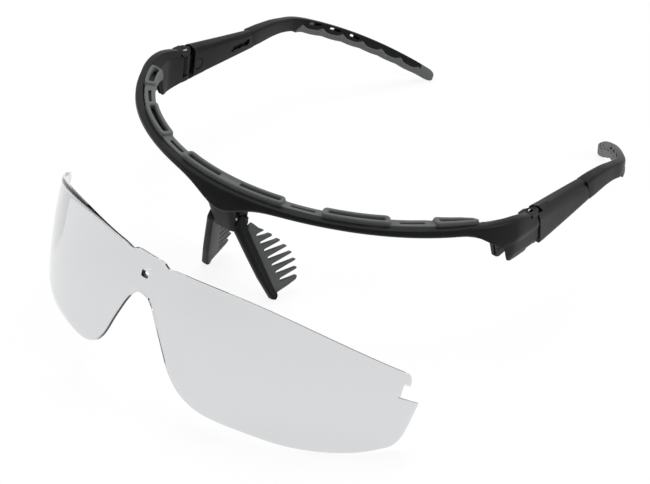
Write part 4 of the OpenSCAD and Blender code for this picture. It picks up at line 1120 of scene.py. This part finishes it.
slide += [[(x, y, z) for x, _, z in slide[1]] for y in (SLEEVE_END - 6, SLEEVE_END + 3)]
carve(arm, [moulding("slide", slide)], "UNION")
PEG_R, PEG_OUT = 0.75, 0.65
carve(arm, [rod("click_peg", (SLIDE_X - SLIDE_T / 2 - PEG_OUT, CATCH_Y, SLIDE_Z), (1, 0, 0), PEG_R, 1, 24)],
      "UNION")
SLITS, SLIT_L, SLIT_H, SLIT_SET = 3, 4.4, 0.9, 0.25
# Three slits go through the arm, over the first gaps between the teeth.
slits = []
for i in range(SLITS):
    y = TOOTH_FIRST + (i + SLIT_SET) * TOOTH_PITCH
    slit = block("slit", (-4, 0, 0), (4, SLIT_L, SLIT_H))
    slit.data.transform(Matrix.Translation(-Vector(at(0, 0, 0))))
    alone(slit)
    ends = slit.modifiers.new("round", "BEVEL")
    ends.width, ends.segments = 0.4 * MM, 4
    bpy.ops.object.modifier_apply(modifier=ends.name)
    slit.data.transform(Matrix.Translation(at(arm_x(y + 2), y, arm_z(y) + 0.9))
                        @ Matrix.Rotation(-math.atan(0.42 * (i + 1) / 2), 4, "X"))
    slits.append(slit)
carve(arm, slits)
smoothed(arm)
TIP_WIDER = 0.3
tip_rings = [strap_ring(y, -arm_h(y) / 2 - scallop(y), rubber_h(y) - arm_h(y) / 2, arm_w(y) + TIP_WIDER, 0.8)
             for y in rubber_ys]
tip_rings += [strap_ring(y, -arm_h(y) / 2, arm_h(y) / 2, arm_w(y) + TIP_WIDER, 1.2)
              for y in run(CORE_END + 0.1, TIP_Y - 3, 0.9)]
for e, share in ((2.4, 0.99), (1.8, 0.96), (1.2, 0.9), (0.7, 0.8), (0.3, 0.64), (0.08, 0.44), (0, 0.3)):
    y = TIP_Y - e
    half = arm_h(y) / 2 * share
    tip_rings.append(strap_ring(y, -half, half, (arm_w(y) + TIP_WIDER) * share, 1.2))
tip = moulding("temple_tip", tip_rings)
smoothed(tip, 60)
left_temple = (sleeve, arm, tip)
for piece in left_temple:
    piece.name = piece.data.name = piece.name + "_left_side"
TEMPLE_FINISHES = ((BLACK_PLASTIC, "sleeve_part_", "black_plastic", "temple_sleeve_"),
                   (BLACK_PLASTIC, "arm_part_", "black_plastic", "temple_arm_"),
                   (GREY_RUBBER, "arm_part_", "grey_rubber", "temple_tip_"))


def finish_temple(side_name, pieces):
    """Finishes the sleeve, the arm and the tip of one side."""
    for piece, (material, body, slot, node) in zip(pieces, TEMPLE_FINISHES):
        finish(piece, material, body + side_name, slot, node + side_name)


finish_temple("left", left_temple)
finish_temple("right", [flipped(piece, piece.name.replace("left", "right")) for piece in left_temple])
